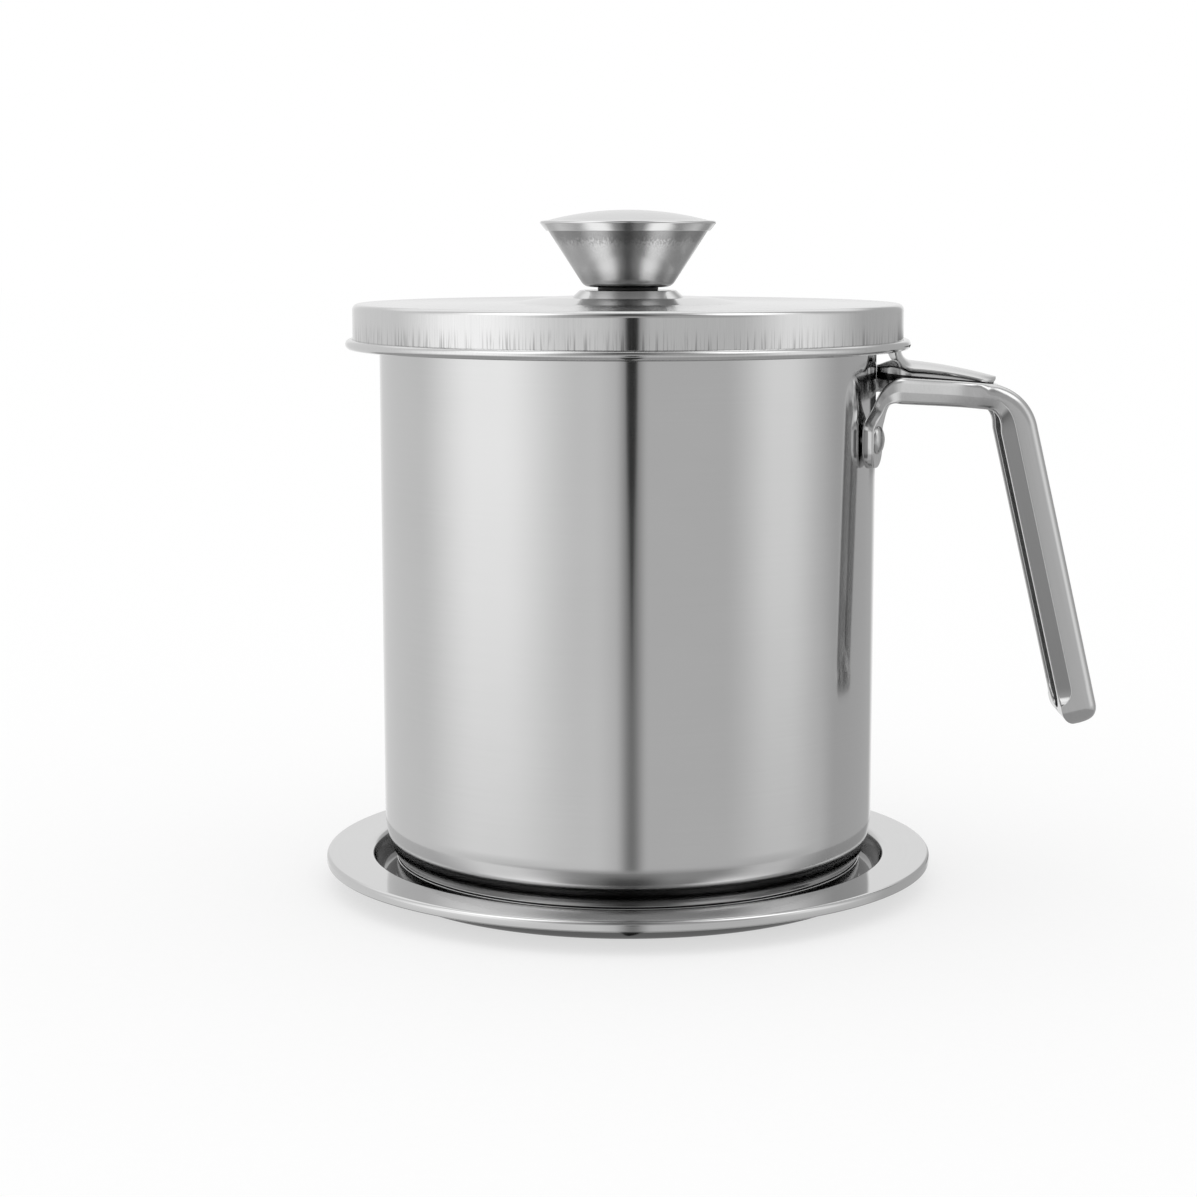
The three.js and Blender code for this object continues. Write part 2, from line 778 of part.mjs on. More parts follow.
function thumbPlate() {
  const rings = plateStations().map(({ spot, under }) => {
    const halfWidth = plateHalfWidth(spot.x);
    const drop = plateCrownDrop * Math.min(halfWidth / plateCrownHalfWidth, 1);
    const upper = Array.from({ length: plateAcrossSteps + 1 }, (_, i) => {
      const share = 2 * i / plateAcrossSteps - 1;
      const down = drop * share * share;
      return new THREE.Vector3(spot.x + under.x * down, halfWidth * share, spot.y + under.y * down);
    });
    const lower = upper.map((corner) => new THREE.Vector3(
      corner.x + under.x * plateSheet,
      corner.y,
      corner.z + under.y * plateSheet,
    ));
    return [...upper, ...lower.reverse()];
  });
  return loft(rings);
}

// Web: a pressed cover under the plate, with a round nose against the pot's wall
const webNoseX = potRadius + fitGap / 2 + webNoseRadius;

function webOutline(inset) {
  const nose = arc(point(webNoseX, 0), webNoseRadius - inset, Math.PI / 2, 1.5 * Math.PI, webNoseSteps);
  const tipX = plateTipX - plateSheet - inset;
  const tip = webTipHalfWidth - inset;
  const bevel = tip * webTipBevelShare;
  const front = [
    point(tipX - bevel, -tip),
    point(tipX, -tip + bevel),
    point(tipX, tip - bevel),
    point(tipX - bevel, tip),
  ];
  return new THREE.Shape([...nose, ...front]);
}

function webRidgeZ(x) {
  const below = plateSheet + webUnderPlate;
  if (x > plateFootX) return ridgeStation(x).spot.y - below;
  const share = (plateFootX - x) / (plateFootX - potRadius);
  return plateFootZ - below + webNoseRise * Math.sin(Math.PI * share) ** 2;
}

// Everything between a crowned face, lowered by a drop, and the web's sloping lower edge
function webSpace(drop, floorDrop) {
  const [start, end] = [potRadius - cutOverrun, plateTipX];
  const across = webNoseRadius + cutOverrun;
  const rings = Array.from({ length: webRunSteps + 1 }, (_, i) => {
    const x = mix(start, end, i / webRunSteps);
    const floorZ = handleTopZ - (x - handleBendX) * Math.tan(handleSlope) - webBelowRail - floorDrop;
    const upper = Array.from({ length: webAcrossSteps + 1 }, (_, j) => {
      const y = across * (2 * j / webAcrossSteps - 1);
      return new THREE.Vector3(x, y, webRidgeZ(x) - y * y / (2 * webCrownRadius) - drop);
    });
    const lower = upper.map((corner) => (
      new THREE.Vector3(x, corner.y, Math.min(floorZ, corner.z - webSheet))
    ));
    return [...upper, ...lower.reverse()];
  });
  return loft(rings);
}

function webColumn(inset) {
  const depth = plateLipTopZ - lugBottomZ;
  const column = new THREE.ExtrudeGeometry(webOutline(inset), { depth, bevelEnabled: false });
  return clean(column.translate(0, 0, lugBottomZ));
}

function thumbWeb() {
  const skin = common(webColumn(0), webSpace(0, 0));
  const hollow = common(webColumn(webSheet), webSpace(webSheet, cutOverrun));
  const grip = gripOuter();
  return cut(
    skin,
    hollow,
    potCutter(fitGap),
    grip.clone().translate(-fitGap, 0, fitGap),
    grip.clone().translate(0, 0, fitGap),
  );
}

// Rivet: its shank, the domed head on the lug and the tail that is set over the burr inside the pot
function rivet(side) {
  const tail = burrInner - fitGap;
  const head = rivetSeat + fitGap;
  const outline = [
    point(0, tail - rivetTailHeight),
    point(rivetTailRadius * Math.SQRT1_2, tail - rivetTailHeight * Math.SQRT1_2),
    point(rivetTailRadius, tail),
    point(rivetRadius, tail),
    point(rivetRadius, head),
    point(rivetHeadRadius, head),
    ...arc(point(0, 0), 1, 0, Math.PI / 2, domeSteps).slice(1).map((share) => (
      point(share.x * rivetHeadRadius, head + share.y * rivetHeadHeight)
    )),
  ];
  outline[outline.length - 1].x = 0;
  return onRivetAxis(turned(outline, fastenerSegments), side);
}

function rivetBurr(side) {
  return onRivetAxis(ring(rivetRadius + boreGap, burrRadius, burrInner, burrOuter, fastenerSegments), side);
}

// Strainer collar: a flange over the pot's curled rim, a tapered wall and a ledge for the net
const strainerFloorZ = strainerTopZ - strainerDepth;
const strainerBottomRadius = strainerRadius - strainerTaper;

function strainerCollar() {
  const line = roundedLine(
    [
      point(strainerBottomRadius - strainerLedge, strainerFloorZ),
      point(strainerBottomRadius, strainerFloorZ),
      point(strainerRadius, strainerTopZ),
      point(strainerLipRadius, strainerTopZ),
      point(strainerLipRadius, strainerTopZ - strainerLipDrop),
    ],
    [strainerBend, strainerBend, strainerLipBend],
    bendSteps,
  );
  return turned(sheetOutline(line, strainerSheet), shellSegments);
}

// Strainer net: a disc with a square mesh, as far out as the clamp ring
const netRadius = strainerBottomRadius - strainerBend - fitGap;

function strainerNet() {
  const clearRadius = netRadius - clampRingWidth;
  const gap = netPitch - netBar;
  const rows = Math.floor(clearRadius / netPitch);
  const gaps = [];
  for (let row = -rows; row <= rows; row += 1) {
    for (let column = -rows; column <= rows; column += 1) {
      const [x, y] = [column * netPitch, row * netPitch];
      if (Math.hypot(Math.abs(x) + gap / 2, Math.abs(y) + gap / 2) < clearRadius) {
        const box = new THREE.BoxGeometry(gap, gap, netThickness + cutOverrun);
        gaps.push(clean(box.translate(x, y, strainerFloorZ + netThickness / 2)));
      }
    }
  }
  return cut(disc(netRadius, strainerFloorZ, strainerFloorZ + netThickness, shellSegments), ...gaps);
}

function strainerClampRing() {
  const bottomZ = strainerFloorZ + netThickness;
  return ring(netRadius - clampRingWidth, netRadius, bottomZ, bottomZ + clampRingThickness, shellSegments);
}

// Lid: a flat crown with a raised boss, a skirt, and an edge curled outward into a bead
function lidShell() {
  const beadInner = lidBeadRadius - lidSheet;
  const top = roundedLine(
    [
      point(screwHole, lidBossZ),
      point(lidBossRadius, lidBossZ),
      point(lidBossFootRadius, lidTopZ + lidRise),
      point(lidRadius, lidTopZ),
      point(lidRadius, lidBeadZ),
    ],
    [0, 0, lidCorner],
    bendSteps,
  ).slice(0, -1);
  const beadCentre = point(lidRadius + beadInner, lidBeadZ);
  const bead = arc(beadCentre, beadInner, Math.PI, Math.PI + lidBeadTurn, curlSteps);
  return turned(sheetOutline([...top, ...bead], lidSheet), shellSegments);
}

// Knob base: a pressed foot between the lid's boss and the knob
function knobBase() {
  const line = roundedLine(
    [
      point(screwHole, knobBaseZ),
      point(knobBaseRadius, knobBaseZ),
      point(knobBaseFootRadius, lidBossZ),
    ],
    [knobBaseSheet],
    bendSteps,
  );
  line.push(point(knobBaseFootRadius - knobBaseSheet, lidBossZ));
  const under = [
    point(knobBaseRadius - knobBaseSheet, knobBaseZ - knobBaseSheet),
    point(screwHole, knobBaseZ - knobBaseSheet),
  ];
  return turned([...line, ...under, line[0]], knobSegments);
}

function knobSpacer() {
  return ring(screwHole, knobSpacerRadius, knobBaseZ, knobFootZ, knobSegments);
}

// Knob shell: a flat foot, a cone that widens upward, and a short upright collar that the cap covers
function knobShell() {
  const line = roundedLine(
    [
      point(screwHole, knobFootZ),
      point(knobFootRadius, knobFootZ),
      point(knobNeckRadius, knobConeTopZ),
      point(knobNeckRadius, knobNeckZ),
    ],
    [knobFootBend, 0],
    bendSteps,
  );
  return turned(sheetOutline(line, -knobSheet), knobSegments);
}

// Knob cap: a low dome whose rim turns down round the shell's collar
function knobCap() {
  const domeRadius = (knobNeckRadius ** 2 + knobCapCrown ** 2) / (2 * knobCapCrown);
  const halfAngle = Math.asin(knobNeckRadius / domeRadius);
  const centre = point(0, knobCapTopZ - domeRadius);
  const dome = arc(centre, domeRadius, Math.PI / 2, Math.PI / 2 - halfAngle, domeSteps);
  dome[0].x = 0;
  const hemRadius = knobNeckRadius + knobHemGap + knobCapSheet;
  const rim = roundedLine(
    [
      dome[dome.length - 1],
      point(hemRadius + knobCapFlare, knobNeckZ + knobCapRimRise),
      point(hemRadius, knobConeTopZ),
    ],
    [knobCapRimBend],
    bendSteps,
  );
  return turned(sheetOutline([...dome, ...rim.slice(1)], knobCapSheet), knobSegments);
}

// Knob core: a blind threaded insert on the shell's floor
const coreBottomZ = knobFootZ + knobSheet;
const screwTipZ = lidBossZ - lidSheet - flatWasherThickness - lockWasherThickness + screwLength;

function knobCore() {
  const topZ = coreBottomZ + coreHeight;
  const boreTopZ = screwTipZ + screwTipGap;
  const outline = [
    point(screwHole, coreBottomZ),
    point(coreRadius, coreBottomZ),
    point(coreRadius, topZ),
    point(0, topZ),
    point(0, boreTopZ),
    point(screwHole, boreTopZ),
  ];
  const closedOutline = [...outline.slice(4), ...outline.slice(0, 4)];
  return turned(closedOutline, fastenerSegments);
}

// Screw and its washers, set from inside the lid
const flatWasherZ = lidBossZ - lidSheet;
const lockWasherZ = flatWasherZ - flatWasherThickness;
const screwHeadZ = lockWasherZ - lockWasherThickness;

function knobScrew() {
  const outline = roundedLine(
    [
      point(0, screwHeadZ - screwHeadHeight),
      point(screwHeadRadius, screwHeadZ - screwHeadHeight),
      point(screwHeadRadius, screwHeadZ),
      point(screwRadius, screwHeadZ),
      point(screwRadius, screwTipZ),
      point(0, screwTipZ),
    ],
    [screwHeadBend, 0, 0, 0],
    bendSteps,
  );
  const slots = [[screwSlotLength, screwSlotWidth], [screwSlotWidth, screwSlotLength]].map(([x, y]) => (
    clean(new THREE.BoxGeometry(x, y, screwSlotDepth * 2).translate(0, 0, screwHeadZ - screwHeadHeight))
  ));
  return cut(turned(outline, fastenerSegments), ...slots);
}

function flatWasher() {
  return ring(screwHole, flatWasherRadius, lockWasherZ, flatWasherZ, fastenerSegments);
}

function lockWasher() {
  const washer = ring(screwHole, lockWasherRadius, screwHeadZ, lockWasherZ, fastenerSegments);
  const split = new THREE.BoxGeometry(lockWasherRadius * 2, lockWasherSplit, lockWasherThickness * 2);
  return cut(washer, clean(split.translate(lockWasherRadius, 0, lockWasherZ)));
}

// Assembly
place('drip_tray', dripTray(), steel(polished, 0.15));

const pot = new THREE.Group();
model.add(pot);
place('pot_body', potBody(), steel(polished, 0.2), pot);
place('base_cap', baseCap(), steel(polished, 0.2), pot);
place('base_core', baseCore(), steel(dull, 0.5), pot);
place('handle_grip', handleGrip(), steel(satin, 0.3), pot);
place('thumb_web', thumbWeb(), steel(satin, 0.3), pot);
place('thumb_plate', thumbPlate(), steel(polished, 0.25), pot);
[['near', -1], ['far', 1]].forEach(([name, side]) => {
  place(`handle_rivet_${name}`, rivet(side), steel(bare, 0.3), pot);
  place(`rivet_burr_${name}`, rivetBurr(side), steel(bare, 0.4), pot);
});

const strainer = new THREE.Group();
model.add(strainer);
place('strainer_collar', strainerCollar(), steel(polished, 0.2), strainer);
place('strainer_net', strainerNet(), steel(satin, 0.4), strainer);
place('strainer_clamp_ring', strainerClampRing(), steel(satin, 0.3), strainer);

const lid = new THREE.Group();
model.add(lid);
place('lid_shell', lidShell(), steel(polished, 0.15), lid);
place('knob_base', knobBase(), steel(satin, 0.25), lid);
place('knob_spacer', knobSpacer(), rubber(black), lid);
place('knob_shell', knobShell(), steel(satin, 0.3), lid);
place('knob_cap', knobCap(), steel(satin, 0.3), lid);
place('knob_core', knobCore(), steel(bare, 0.4), lid);
place('knob_screw', knobScrew(), steel(bare, 0.35), lid);
place('flat_washer', flatWasher(), steel(bare, 0.4), lid);
place('lock_washer', lockWasher(), steel(bare, 0.4), lid);

export default model;
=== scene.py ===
"""Looks of a round stainless steel grease pot with a strainer, a lid with a knob, a handle and a drip tray.

Metres, +Z up. The pot stands on its tray at the origin, and the handle points to +X.
Sizes below are in millimetres and repeat those of the solids; "mm" turns them into metres.
"""

from math import acos, asin, atan, atan2, copysign, cos, hypot, pi, sin, sqrt, tan

import bmesh
import bpy
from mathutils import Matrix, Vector


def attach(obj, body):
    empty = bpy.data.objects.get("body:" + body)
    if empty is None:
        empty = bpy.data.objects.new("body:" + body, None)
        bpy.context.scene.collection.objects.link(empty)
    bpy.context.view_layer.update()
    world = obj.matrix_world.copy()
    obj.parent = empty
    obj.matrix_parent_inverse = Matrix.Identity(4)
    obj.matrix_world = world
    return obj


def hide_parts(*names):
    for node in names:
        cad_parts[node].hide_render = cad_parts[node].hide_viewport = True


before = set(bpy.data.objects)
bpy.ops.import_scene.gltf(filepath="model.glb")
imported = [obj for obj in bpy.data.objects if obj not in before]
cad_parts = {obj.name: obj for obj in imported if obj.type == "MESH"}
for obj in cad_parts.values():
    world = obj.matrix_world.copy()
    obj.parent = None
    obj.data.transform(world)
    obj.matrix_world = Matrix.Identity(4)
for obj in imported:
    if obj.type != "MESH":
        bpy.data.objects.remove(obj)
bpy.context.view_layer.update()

mm = 0.001
micron = 0.001 * mm
degree = pi / 180

# Clearances
seat_gap = 0.1
fit_gap = 0.3
bore_gap = 0.2

# Facets
shell_segments = 192
knob_segments = 128
fastener_segments = 48
bend_steps = 8
edge_steps = 4
end_steps = 10
run_steps = 16
curve_steps = 24
crease_angle = 38 * degree
merge_reach = 0.002
pole_radius = 0.000001
least_bend = 0.02
straight_margin = 0.001
corner_reach = 0.5
back_bend_reach = 0.8

# Drip tray
tray_sheet = 0.7
tray_height = 7.8
tray_floor_gap = 1.4
tray_well_flare = 3
tray_rim_width = 10.1
tray_floor_bend = 2.2
tray_rim_bend = 1.4
tray_edge_bend = 0.9
tray_edge_drop = 2.1

# Pot: its wall bends inward over its lowest part, down to the rim of the base
pot_radius = 60
pot_height = 139.5
pot_sheet = 0.6
pot_curve_radius = 22.4
pot_curve_height = 11
pot_foot_rise = 0.4
pot_foot_bend = 0.7
pot_lip_radius = 1.7
pot_lip_turn = 250 * degree

# Pot base: a pressed cap over the heat-spreading core
base_height = 5.3
base_overhang = 0.2
base_cap_sheet = 0.5
base_cap_bend = 1.4

# Strainer
strainer_sheet = 0.6
strainer_depth = 34
strainer_wall_gap = 3.4
strainer_taper = 1.2
strainer_bend = 2
strainer_ledge = 5
strainer_lip_gap = 0.5
strainer_lip_drop = 2.4
strainer_lip_bend = 0.9
net_thickness = 0.6
net_pitch = 1.6
net_wire = 0.32
net_wire_sides = 6
clamp_ring_width = 4
clamp_ring_thickness = 0.8
clamp_ring_bend = 0.25

# Lid
lid_sheet = 0.6
lid_skirt_gap = 1.9
lid_skirt_height = 9.6
lid_corner = 1.5
lid_bead_radius = 1.18
lid_bead_turn = 290 * degree
lid_rise = 0.2
lid_boss_foot_radius = 28
lid_boss_radius = 19.5
lid_boss_height = 1.2
lid_boss_bend = 0.8

# Knob
knob_base_foot_radius = 13.5
knob_base_radius = 11.6
knob_base_height = 1.7
knob_base_sheet = 0.7
knob_spacer_radius = 7.3
knob_spacer_height = 0.75
knob_spacer_bend = 0.2
knob_sheet = 0.8
knob_foot_radius = 10.5
knob_foot_bend = 2.6
knob_neck_radius = 19.25
knob_cone_height = 13.5
knob_collar_height = 1.9
knob_hem_gap = 0.15
knob_cap_sheet = 0.4
knob_cap_flare = 1.75
knob_cap_seat = 0.15
knob_cap_crown = 2.5
knob_cap_rim_rise = 0.3
knob_cap_rim_bend = 0.4
knob_screw_radius = 2.5

# Handle: bend and grip
handle_width = 20
rail_width = 3.6
back_sheet = 1.8
handle_reach = 27
handle_slope = 5 * degree
handle_bend_radius = 12.9
grip_lean = 13.1 * degree
grip_length = 74.2
grip_depth = 8.8
grip_back_bend = 3
grip_crease_bend = 1.2
grip_rim_bend = 0.7
grip_cove_height = 3.3
grip_cove_inset = 1.5
grip_cove_end = 6
grip_cove_fade = 4
grip_end_length = 4.5
grip_end_side_bend = 6
grip_end_back_bend = 2.7
grip_end_rim_bend = 4.4
grip_groove_bend = 1.6
grip_end_wall = 4
groove_close_share = 0.08
groove_close_turn = 0.5
grip_bend_steps = 28

# Handle: arms and lugs
arm_height = 6.2
arm_corner_bend = 1.3
arm_corner_share = 0.2
arm_facet_height = 2.9
arm_facet_inset = 0.55
arm_root_length = 3
arm_drop_radius = 6
arm_splay_share = 0.18
lug_angle = 21.5 * degree
lug_lean = 24 * degree
lug_foot_radius = 5
lug_foot_rise = 2
lug_foot_steps = 6
lug_steep_share = 0.75
lug_thickness = 2.8
lug_width = 8.4
lug_drop = 18.9
lug_end_length = 5
lug_end_bend = 3
lug_end_thinning = 0.6

# Rivets
rivet_rise = 6.6
rivet_radius = 2
rivet_head_radius = 3.3
rivet_head_height = 1.3
rivet_tail_radius = 2.9
rivet_tail_height = 1.1
burr_radius = 3.7
burr_thickness = 0.8
burr_wall_gap = 0.3

# Thumb plate and web
plate_sheet = 0.8
plate_tip_reach = 2.3
plate_tip_seat = 0.6
plate_foot_gap = 8.6
plate_foot_rise = 5.3
plate_foot_slope = 0.1
plate_tip_slope = 0.275
plate_lip_radius = 2.8
plate_lip_rise = 2.5
plate_lip_gap = 0.52
plate_tip_half_width = 7.5
plate_tip_length = 4.7
plate_lip_half_width = 9.5
plate_crown_drop = 1.8
plate_crown_half_width = 11
plate_lip_steps = 12
plate_tip_start = 3 * degree
web_sheet = 1.2
web_nose_inset = 2
web_tip_gap = 1
web_below_rail = 1.4
web_under_plate = 0.3
web_nose_rise = 1.1
web_crown_radius = 20
web_edge_bend = 0.35

# Radii that follow the pot's
pot_inner_radius = pot_radius - pot_sheet
pot_lip_outer_radius = pot_inner_radius + 2 * pot_lip_radius
tray_floor_radius = pot_radius + tray_floor_gap
tray_rim_inner_radius = tray_floor_radius + tray_well_flare
tray_radius = tray_rim_inner_radius + tray_rim_width
strainer_radius = pot_inner_radius - strainer_wall_gap - strainer_sheet
strainer_lip_radius = pot_lip_outer_radius + strainer_lip_gap + strainer_sheet
lid_radius = strainer_lip_radius + lid_skirt_gap + lid_sheet

# Heights of the stack
pot_bottom_z = tray_sheet
pot_floor_z = pot_bottom_z + base_height + seat_gap + pot_sheet
pot_curve_z = pot_floor_z + pot_curve_height
pot_rim_z = pot_bottom_z + pot_height
strainer_top_z = pot_rim_z + seat_gap + strainer_sheet
lid_top_z = strainer_top_z + seat_gap + lid_sheet
lid_bead_z = lid_top_z - lid_skirt_height
lid_boss_z = lid_top_z + lid_rise + lid_boss_height
knob_base_z = lid_boss_z + knob_base_height
knob_foot_z = knob_base_z + knob_spacer_height
knob_cone_top_z = knob_foot_z + knob_cone_height
knob_neck_z = knob_cone_top_z + knob_collar_height
knob_cap_top_z = knob_neck_z + knob_cap_seat + knob_cap_sheet + knob_cap_crown
screw_hole = knob_screw_radius + bore_gap

# Places of the handle
handle_fall = tan(handle_slope)
plate_lip_top_z = lid_bead_z - lid_bead_radius - plate_lip_gap
plate_foot_z = plate_lip_top_z - plate_lip_rise
handle_top_z = plate_foot_z - plate_foot_rise
handle_bend_x = pot_radius + handle_reach
lug_bottom_z = handle_top_z - lug_drop
rivet_z = lug_bottom_z + rivet_rise
plate_tip_x = handle_bend_x + plate_tip_reach
plate_tip_z = handle_top_z + plate_sheet + plate_tip_seat
plate_round_x = plate_tip_x - plate_tip_length
plate_foot_x = pot_radius + plate_foot_gap
web_nose_radius = handle_width / 2 - web_nose_inset
web_tip_half_width = handle_width / 2 - rail_width - web_tip_gap


# Blends
def mix(start, end, share):
    return start + (end - start) * share


def clamp(share):
    return min(max(share, 0), 1)


def smooth(share):
    inside = clamp(share)
    return inside * inside * (3 - 2 * inside)


def steps(start, end, count):
    return [mix(start, end, i / count) for i in range(count + 1)]


# Outlines: points are 2D vectors
def arc(centre, radius, start, end, count):
    return [centre + radius * Vector((cos(a), sin(a))) for a in steps(start, end, count)]


def rounded_corner(before, corner, after, radius, count, reach=corner_reach):
    """An arc tangent to both sides of a corner, that takes up no more than a share of the shorter side."""
    back, ahead = before - corner, after - corner
    room = min(back.length, ahead.length) * reach
    back.normalize()
    ahead.normalize()
    half = acos(max(-1, min(1, back.dot(ahead)))) / 2
    if half > pi / 2 - straight_margin:
        return [corner.copy() for _ in range(count + 1)]
    radius = min(radius, room * tan(half))
    centre = corner + (back + ahead).normalized() * radius / sin(half)
    start = corner + back * radius / tan(half) - centre
    turn = copysign(pi - 2 * half, back.cross(ahead))
    angle = atan2(start.y, start.x)
    return arc(centre, radius, angle, angle - turn, count)


def rounded_line(corners, radii):
    line = [corners[0]]
    for i, radius in enumerate(radii):
        if radius:
            line += rounded_corner(corners[i], corners[i + 1], corners[i + 2], radius, bend_steps)
        else:
            line.append(corners[i + 1])
    return [*line, corners[-1]]


def round_end(start, end, turn):
    """The points between two ends of a sheet, on a half circle."""
    centre = (start + end) / 2
    spoke = start - centre
    angle = atan2(spoke.y, spoke.x)
    return arc(centre, spoke.length, angle, angle + turn, edge_steps)[1:-1]


def sheet_outline(line, thickness):
    """The outline of a sheet that lies to the right of a line, with its ends off the axis rounded."""
    sides = []
    for start, end in zip(line, line[1:]):
        along = (end - start).normalized()
        sides.append(Vector((along.y, -along.x)))
    moved = []
    for i, corner in enumerate(line):
        before, after = sides[max(i - 1, 0)], sides[min(i, len(sides) - 1)]
        middle = (before + after).normalized()
        moved.append(corner + middle * thickness / middle.dot(after))
    moved.reverse()
    turn = copysign(pi, -thickness)
    head = round_end(line[-1], moved[0], turn)
    tail = [] if line[0].x < pole_radius else round_end(moved[-1], line[0], turn)
    return [*line, *head, *moved, *tail]


def xy(*pairs):
    return [Vector(pair) for pair in pairs]


# Meshes
def make(name, vertices, faces):
    """An object from points in millimetres, shaded smooth between its creases."""
    mesh = bpy.data.meshes.new(name)
    mesh.from_pydata([Vector(corner) * mm for corner in vertices], [], faces)
    work = bmesh.new()
    work.from_mesh(mesh)
    bmesh.ops.remove_doubles(work, verts=work.verts, dist=merge_reach * mm)
    bmesh.ops.recalc_face_normals(work, faces=work.faces)
    work.to_mesh(mesh)
    work.free()
    mesh.polygons.foreach_set("use_smooth", [True] * len(mesh.polygons))
    mesh.set_sharp_from_angle(angle=crease_angle)
    mesh.update()
    piece = bpy.data.objects.new(name, mesh)
    bpy.context.scene.collection.objects.link(piece)
    shading = piece.modifiers.new("flat faces keep their normals", "WEIGHTED_NORMAL")
    shading.keep_sharp = True
    return piece


def strip(first, second):
    """Quads between two closed rows of vertex numbers."""
    count = len(first)
    return [(first[i], first[(i + 1) % count], second[(i + 1) % count], second[i]) for i in range(count)]


class Skin:
    """A mesh of closed rows of points, joined by quads."""

    def __init__(self):
        self.points, self.faces = [], []

    def row(self, points):
        start = len(self.points)
        self.points += points
        return list(range(start, len(self.points)))

    def join(self, *rows):
        for first, second in zip(rows, rows[1:]):
            self.faces += strip(first, second)

    def close(self, row):
        self.faces.append(tuple(row))

    def piece(self, name):
        return make(name, self.points, self.faces)


def turned_skin(outline, segments):
    """A closed outline of (radius, height) points turned about Z."""
    skin = Skin()
    angles = [2 * pi * i / segments for i in range(segments)]
    columns = []
    for radius, height in outline:
        if radius < pole_radius:
            columns.append(skin.row([(0, 0, height)]) * segments)
        else:
            ring = [(radius * cos(angle), radius * sin(angle), height) for angle in angles]
            columns.append(skin.row(ring))
    for lower, upper in zip(columns, columns[1:] + columns[:1]):
        for face in strip(lower, upper):
            corners = list(dict.fromkeys(face))
            if len(corners) > 2:
                skin.close(reversed(corners))
    return skin


def turned(name, outline, segments=shell_segments):
    return turned_skin(outline, segments).piece(name)


def ring_outline(inner, outer, bottom, top, bend):
    corners = xy((inner, bottom), (outer, bottom), (outer, top), (inner, top))
    loop = []
    for i, corner in enumerate(corners):
        loop += rounded_corner(corners[i - 1], corner, corners[(i + 1) % len(corners)], bend, edge_steps)
    return loop


# Turned pieces
def drip_tray():
    corners = xy(
        (0, tray_sheet),
        (tray_floor_radius, tray_sheet),
        (tray_rim_inner_radius - tray_rim_bend, tray_height),
        (tray_radius, tray_height),
        (tray_radius, tray_height - tray_edge_drop),
    )
    line = rounded_line(corners, [tray_floor_bend, tray_rim_bend, tray_edge_bend])
    return turned("tray_pressing", sheet_outline(line, tray_sheet))


pot_curve_inner = pot_curve_radius - pot_sheet
pot_curve_centre_radius = pot_radius - pot_curve_radius
pot_curve_turn = asin((pot_curve_height - pot_foot_rise) / pot_curve_inner)


def pot_cup():
    centre = Vector((pot_curve_centre_radius, pot_curve_z))
    curve = arc(centre, pot_curve_inner, -pot_curve_turn, 0, curve_steps)
    foot = Vector((curve[0].x - pot_foot_rise * tan(pot_curve_turn), pot_floor_z))
    floor_line = rounded_line([Vector((0, pot_floor_z)), foot, curve[0]], [pot_foot_bend])[:-1]
    centre = Vector((pot_inner_radius + pot_lip_radius, pot_rim_z - pot_lip_radius))
    lip = arc(centre, pot_lip_radius, pi, pi - pot_lip_turn, curve_steps)
    outline = sheet_outline([*floor_line, *curve, *lip], pot_sheet)
    return turned("pot_cup", outline)


def base_pressing():
    radius = pot_curve_centre_radius + pot_curve_radius * cos(pot_curve_turn) + base_overhang
    top_z = pot_bottom_z + base_height
    corners = xy((0, pot_bottom_z), (radius, pot_bottom_z), (radius, top_z))
    line = rounded_line(corners, [base_cap_bend])
    outline = sheet_outline(line, -base_cap_sheet)
    return turned("base_pressing", outline)


strainer_floor_z = strainer_top_z - strainer_depth
strainer_bottom_radius = strainer_radius - strainer_taper
net_radius = strainer_bottom_radius - strainer_bend - fit_gap


def strainer_cup():
    corners = xy(
        (strainer_bottom_radius - strainer_ledge, strainer_floor_z),
        (strainer_bottom_radius, strainer_floor_z),
        (strainer_radius, strainer_top_z),
        (strainer_lip_radius, strainer_top_z),
        (strainer_lip_radius, strainer_top_z - strainer_lip_drop),
    )
    line = rounded_line(corners, [strainer_bend, strainer_bend, strainer_lip_bend])
    return turned("strainer_cup", sheet_outline(line, strainer_sheet))


def strainer_ring():
    bottom = strainer_floor_z + net_thickness
    top = bottom + clamp_ring_thickness
    outline = ring_outline(net_radius - clamp_ring_width, net_radius, bottom, top, clamp_ring_bend)
    return turned("strainer_ring", outline)


def strainer_mesh():
    """Round wires woven over and under each other, as far out as the clamp ring."""
    skin = Skin()
    centre_z = strainer_floor_z + net_thickness / 2
    swing = (net_thickness - net_wire) / 2
    wires = int(net_radius / net_pitch)
    for turn in (0, 1):
        for wire in range(-wires, wires + 1):
            offset = wire * net_pitch
            reach = sqrt(net_radius**2 - offset**2)
            count = int(reach / net_pitch) * 2
            rows = []
            for i in range(-count, count + 1):
                along = i * net_pitch / 2
                wave = swing * cos(pi * (i / 2 + wire + turn))
                ring = []
                for j in range(net_wire_sides):
                    angle = 2 * pi * j / net_wire_sides
                    side = offset + cos(angle) * net_wire / 2
                    height = centre_z + wave + sin(angle) * net_wire / 2
                    ring.append((side, along, height) if turn else (along, side, height))
                rows.append(skin.row(ring))
            skin.close(rows[0])
            skin.join(*rows)
            skin.close(rows[-1])
    return skin.piece("strainer_weave")


